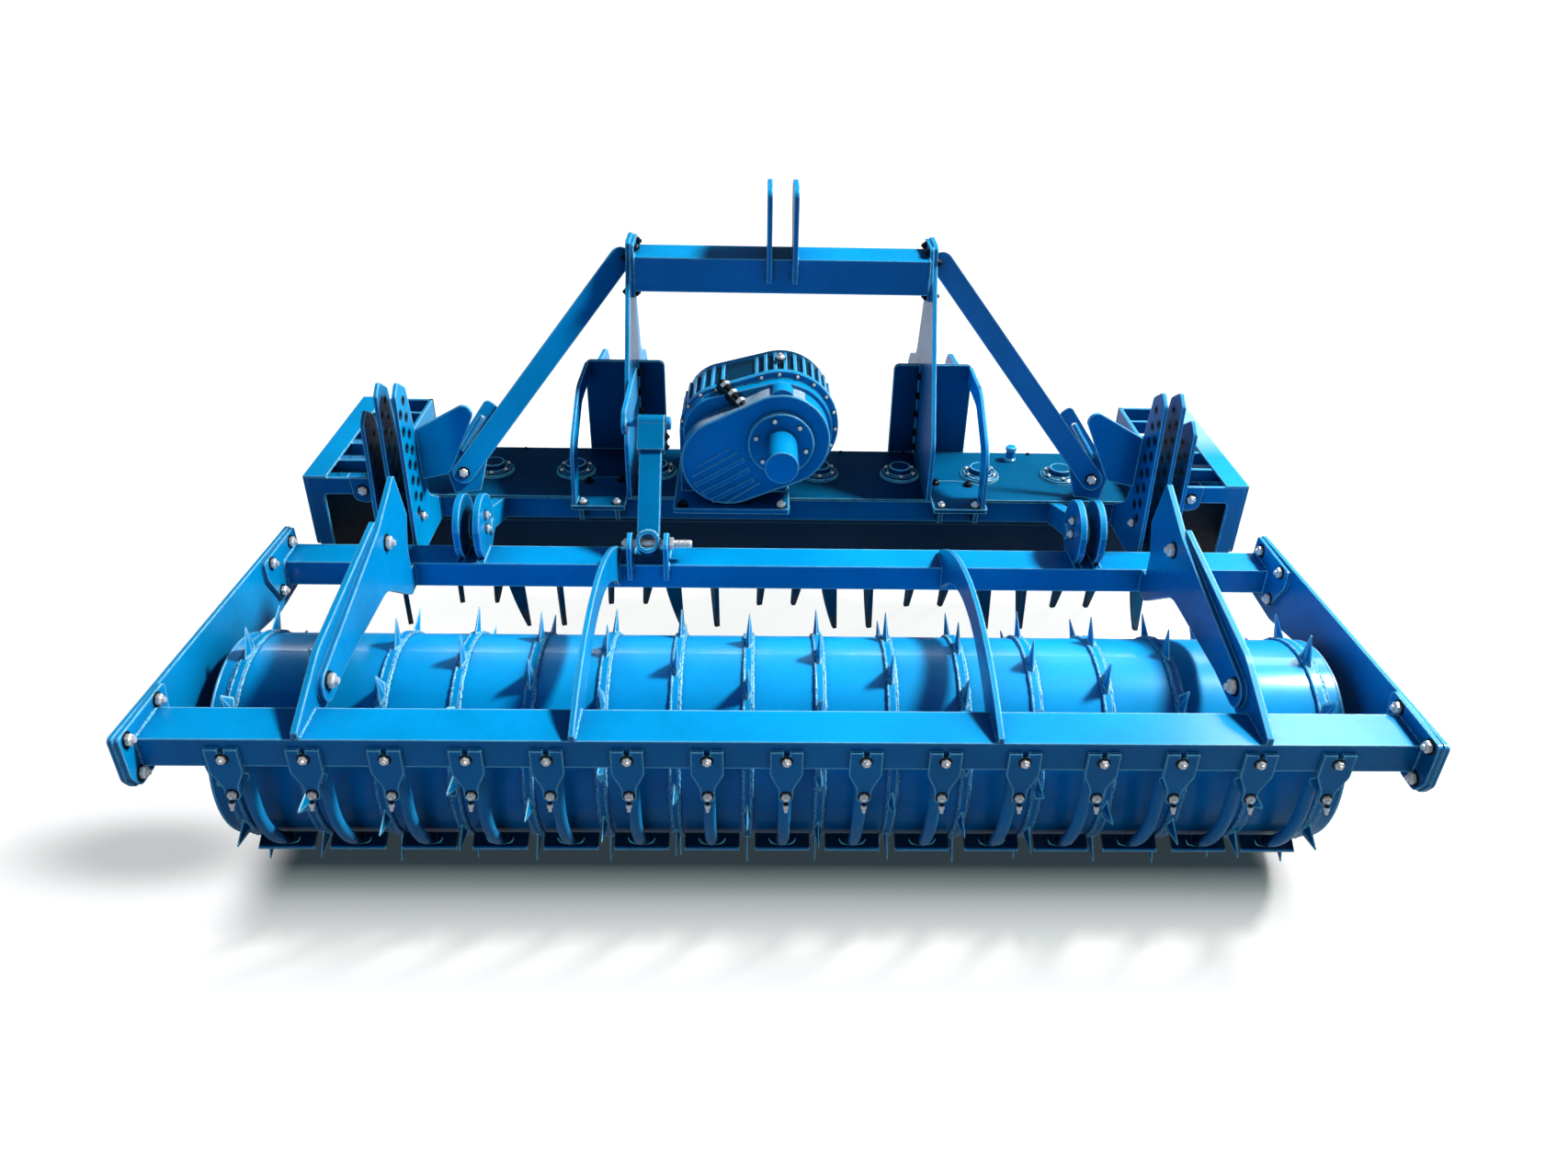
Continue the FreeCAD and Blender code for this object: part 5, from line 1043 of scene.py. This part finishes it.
class HARROW_OT_fittings(bpy.types.Operator):
    """Make the pins, tabs, drum edges and other small plates"""
    bl_idname = "harrow.fittings"
    bl_label = "Pins and fittings"

    def execute(self, context):
        self.pins()
        tab = [(1.292, 0.742, 0.004), (1.372, 0.742, 0.006), (1.366, 0.664, 0.022), (1.318, 0.652, 0.018),
               (1.298, 0.700, 0.02)]
        tabs = Solid().slab(facing_back(0.1915, tab), (0, 0.0085, 0))
        tabs.mirror().settle("side_tabs", "harrow", "blue", bevel=0.0012)
        self.scraper_feet()
        ahead = BRACE_NORMAL * (BRACE_T + FOOT_PLATE_T * 0.45)
        slot = Solid().wire([on_brace(x, z) + ahead for x, z in ((0.992, 0.841), (1.062, 0.737))], 0.0096, 12)
        slot.mirror().settle("slot_bars", "harrow", "fin", 40)
        flap = [(1.277, 0.690, 0), (1.510, 0.690, 0), (1.510, 0.420, 0.02), (1.277, 0.420, 0.02)]
        flaps = Solid().slab(facing_back(0.300, flap), (0, 0.005, 0))
        flaps.mirror().settle("side_flaps", "harrow", "rubber")
        # painted shadow: two near-black plates that fill the shaded gaps under the trough
        lips = Solid().block((-1.425, 0.3880, 0.3720), (1.425, 0.3930, 0.4920))
        lips.block((-1.425, 0.6540, 0.4036), (1.425, 0.6600, 0.4362)).settle("trough_shadow_plates", "harrow", "shadow_black")
        self.drum_edges()
        return {"FINISHED"}

    def pins(self):
        """The arms' bolt shanks, the hinge pins with their caps and the long eye bolt of the strut."""
        shanks = Solid()
        for y, z in ARM_BOLTS:
            shanks.turned((ARM_IN - 0.003, y, z), RIGHT, [(0.0120, 0.0), (0.0120, 0.038)], 24)
        shanks.mirror().settle("arm_bolt_shanks", "roller_frame", "zinc", replaced=["arm_bolts"])
        capped = [(0.021, 0.0), (0.025, 0.003), (0.025, 0.0098), (0.0199, 0.0100), (0.0199, 0.0900), (0.025, 0.0902),
                  (0.025, 0.097), (0.021, 0.100)]
        hinge = Solid().turned((HINGE_EAR_IN - 0.010, 0.050, 0.654), RIGHT, capped).mirror()
        hinge.settle("hinge_pin_caps", "roller_frame", "blue", replaced=["hinge_pins"])
        thread = [ridge for k in range(15) for ridge in ((0.0128, 0.152 + 0.0034 * k), (0.0112, 0.1537 + 0.0034 * k))]
        bolt = Solid().turned((STRUT_X - 0.074, *STRUT_EYE.yz), RIGHT,
                              [(0.0119, 0.0), (0.0119, 0.150), *thread, (0.0095, 0.206)], 28)
        bolt.turned((STRUT_X + LUG_OUT + 0.0005, *STRUT_EYE.yz), RIGHT,
                    [(0.019, 0.0), (0.0205, 0.002), (0.0205, 0.013), (0.018, 0.0145)], 6)
        bolt.settle("eye_bolt", "roller_frame", "zinc", 25, replaced=["strut_pin"])

    def scraper_feet(self):
        """The rounded foot of each scraper's arm, above the blade."""
        feet = Solid()
        along, behind = Vector((0, 0.786, -0.618)), Vector((0, -0.618, -0.786))
        for x in SCRAPERS:
            rows = []
            for t in (-1 + k / 6 for k in range(13)):
                spot = Vector((x, -0.838, 0.193)) + Vector((0.036 * t, 0, 0)) - along * (0.020 * t * t - 0.004)
                spot += behind * (0.0175 * math.sqrt(max(0.0, 1 - t * t)) - 0.002)
                wide = 0.002 + 0.012 * (1 - t * t)
                rows.append([spot - along * wide, spot + behind * 0.003, spot + along * wide, spot - behind * 0.003])
            feet.skin(rows)
        feet.settle("arm_feet", "roller_frame", "blue", 35)

    def drum_edges(self):
        """Rolled lips at the drum's ends and a turned bearing cap on each end plate."""
        lips = Solid()
        for side in (-1, 1):
            lips.wire(round_drum(side * (DRUM_HALF - 0.004), 0.2715), 0.0042, closed=True)
        lips.settle("drum_lips", "roller", "blue", 60)
        cap = [(0.092, 0.0), (0.092, 0.007), (0.086, 0.010), (0.056, 0.011), (0.050, 0.019), (0.018, 0.021),
               (0.010, 0.019)]
        caps = Solid().turned((1.5298, ROLLER.y, ROLLER.z), RIGHT, cap, 48)
        caps.mirror().settle("bearing_caps", "roller_frame", "cast", 25)


class HARROW_OT_stage(bpy.types.Operator):
    """Make the floor, the lamps, the sky and the camera"""
    bl_idname = "harrow.stage"
    bl_label = "Set the studio"

    def execute(self, context):
        scene, studio = context.scene, context.scene.harrow_studio
        self.floor()
        self.sky(scene, studio)
        self.lamps(studio)
        camera = bpy.data.cameras.new("studio_camera")
        camera.sensor_width, camera.lens, camera.clip_end = 36.0, studio.lens, 300
        eye = add("studio_camera", camera)
        pitch, yaw, roll = math.radians(31.93), math.radians(-1.64), math.radians(1.37)
        turn = Matrix.Rotation(yaw, 4, "Z") @ Matrix.Rotation(math.pi / 2 - pitch, 4, "X")
        turn = turn @ Matrix.Rotation(roll, 4, "Z")
        eye.matrix_world = Matrix.Translation((-0.075, -3.07, 2.379)) @ turn
        scene.camera = eye
        scene.view_settings.view_transform = "Standard"
        return {"FINISHED"}

    def floor(self):
        """White to the camera apart from the soft shadow under the machine, which is partly painted into its glow and
        partly cast by the lamps, and dim to reflections.
        """
        mesh = bpy.data.meshes.new("floor")
        reach = 60.0
        mesh.from_pydata([(-reach, -reach, 0), (reach, -reach, 0), (reach, reach, 0), (-reach, reach, 0)], [],
                         [(0, 1, 2, 3)])
        floor = add("studio_floor", mesh)
        f = Finish("studio_floor")
        seen = f.ray("Is Camera Ray")
        x, y = f.part("X"), f.part("Y")
        # painted shadow: the glow is near-black under the roller, lightens away from it and clears beyond the
        # machine's ends
        stops = ((0.30, (0.025, 0.035, 0.035)), (0.42, (0.19, 0.22, 0.21)), (0.52, (0.42, 0.44, 0.43)),
                 (0.62, (0.56, 0.58, 0.57)), (0.80, (0.78, 0.81, 0.79)), (0.90, (0.91, 0.93, 0.92)), (1.0, (1, 1, 1)))
        glow = f.node("ShaderNodeValToRGB", {"stops": stops}, {0: f.math("ABSOLUTE", (y + 0.55) / 0.64)})
        glow = f.mix(f.math("ABSOLUTE", x).over(1.36, 1.56), glow, (1, 1, 1))
        # painted shadow: a faint patch under the rotors and a tongue to the left
        for centre, scale, low, k in (((0.0, 0.60, 0), (1.8, 0.62, 1), 0.3, 0.90),
                                      ((-1.80, -0.70, 0), (0.52, 0.21, 1), 0.2, 0.54)):
            away = f.node("ShaderNodeMapping", {"vector_type": "TEXTURE"},
                          {"Vector": f.place, "Location": centre, "Scale": scale})
            share = f.vector_math("LENGTH", away).over(low, 1.0, 1.0, 0.0)
            glow = f.mix(share, glow, (k, k * 1.02, k), "MULTIPLY")
        shine = f.mix(y.over(1.4, 3.6), (0.14, 0.15, 0.16), (0.62, 0.64, 0.66))
        shine = f.mix((f.ray("Is Glossy Ray") + f.ray("Is Transmission Ray")).clamped(), (0.0, 0.0, 0.0), shine)
        f.set(Base_Color=f.mix(seen, (0.16, 0.16, 0.16), (0.26, 0.26, 0.25)), Roughness=0.95, Specular_IOR_Level=0.0,
              Emission_Color=f.mix(seen, shine, glow), Emission_Strength=1.0)
        mesh.materials.append(f.material)

    def sky(self, scene, studio):
        """White to the camera, soft blue light all round, and walls that only reflections show."""
        scene.world = world = bpy.data.worlds.new("studio_sky")
        world.use_nodes = True
        sky = Tree(world.node_tree)
        way = sky.node("ShaderNodeTexCoord", out="Generated")
        toward = sky.vector_math("DOT_PRODUCT", way, (0.50, 0.20, 0.84))
        walls = times((0.35, 0.80, 1.20), studio.mirrored)
        mirrored = sky.mix(toward.over(0.60, 0.97), walls, (0.5, 0.5, 0.5))
        tone = sky.mix(sky.ray("Is Glossy Ray"), times((0.24, 0.50, 1.0), studio.sky), mirrored)
        direct = (sky.ray("Is Camera Ray") + sky.ray("Is Transmission Ray")).clamped()
        sky.feed(world.node_tree.nodes["Background"].inputs["Color"], sky.mix(direct, tone, (1.0, 1.0, 1.0)))

    def lamps(self, studio):
        """One main lamp, one behind the camera, one ahead on the right, and a row that lights only the drum."""
        def lamp(name, place, aim, size, power, colour=(1, 1, 1)):
            light = bpy.data.lights.new(name, "AREA")
            light.shape, light.size, light.size_y, light.energy, light.color = "ELLIPSE", *size, power, colour
            holder = add(name, light)
            holder.location = place
            holder.rotation_euler = (Vector(aim) - Vector(place)).to_track_quat("-Z", "Y").to_euler()
            return holder

        drum_only = bpy.data.collections.new("drum_only")
        drum_only.objects.link(NODES["roller_drum"])
        lamp("key_lamp", (5.0, 1.3, 6.6), (0.0, 0.0, 0.4), (1.2, 1.2), studio.key)
        for i, x in enumerate((-4.1, -3.5, -2.4, -1.3, -0.2, 0.9, 2.0, 3.0, 3.7)):
            strip = lamp(f"strip_lamp_{i + 1}", (x, 4.9, 4.2), (x * 0.33, -0.58, 0.62), (0.50, 0.16), studio.strip)
            strip.light_linking.receiver_collection = drum_only
        lamp("rim_lamp", (3.9, 3.3, 4.2), (1.1, -0.8, 0.65), (1.5, 1.1), studio.rim)
        lamp("fill_lamp", (-1.2, -6.0, 2.6), (0.0, 0.0, 0.5), (3.0, 3.0), studio.fill, (0.25, 0.50, 1.0))


class HARROW_PT_panel(bpy.types.Panel):
    """The dressing steps, in order"""
    bl_label = "Power harrow"
    bl_idname = "HARROW_PT_panel"
    bl_space_type = "VIEW_3D"
    bl_region_type = "UI"
    bl_category = "Harrow"

    def draw(self, context):
        for group in (context.scene.harrow_paint, context.scene.harrow_sizes, context.scene.harrow_studio):
            box = self.layout.box()
            for name in group.__annotations__:
                box.prop(group, name)
        for step in STEPS:
            self.layout.operator(step.bl_idname)


GROUPS = (HarrowPaint, HarrowSizes, HarrowStudio)
STEPS = (HARROW_OT_finishes, HARROW_OT_fasteners, HARROW_OT_welds, HARROW_OT_gearbox, HARROW_OT_fittings,
         HARROW_OT_stage)


def register():
    for kind in (*GROUPS, *STEPS, HARROW_PT_panel):
        bpy.utils.register_class(kind)
    bpy.types.Scene.harrow_paint = PointerProperty(type=HarrowPaint)
    bpy.types.Scene.harrow_sizes = PointerProperty(type=HarrowSizes)
    bpy.types.Scene.harrow_studio = PointerProperty(type=HarrowStudio)


def unregister():
    del bpy.types.Scene.harrow_studio, bpy.types.Scene.harrow_sizes, bpy.types.Scene.harrow_paint
    for kind in reversed((*GROUPS, *STEPS, HARROW_PT_panel)):
        bpy.utils.unregister_class(kind)


def main():
    register()
    for step in STEPS:
        group, name = step.bl_idname.split(".")
        getattr(getattr(bpy.ops, group), name)()


if __name__ == "__main__":
    main()
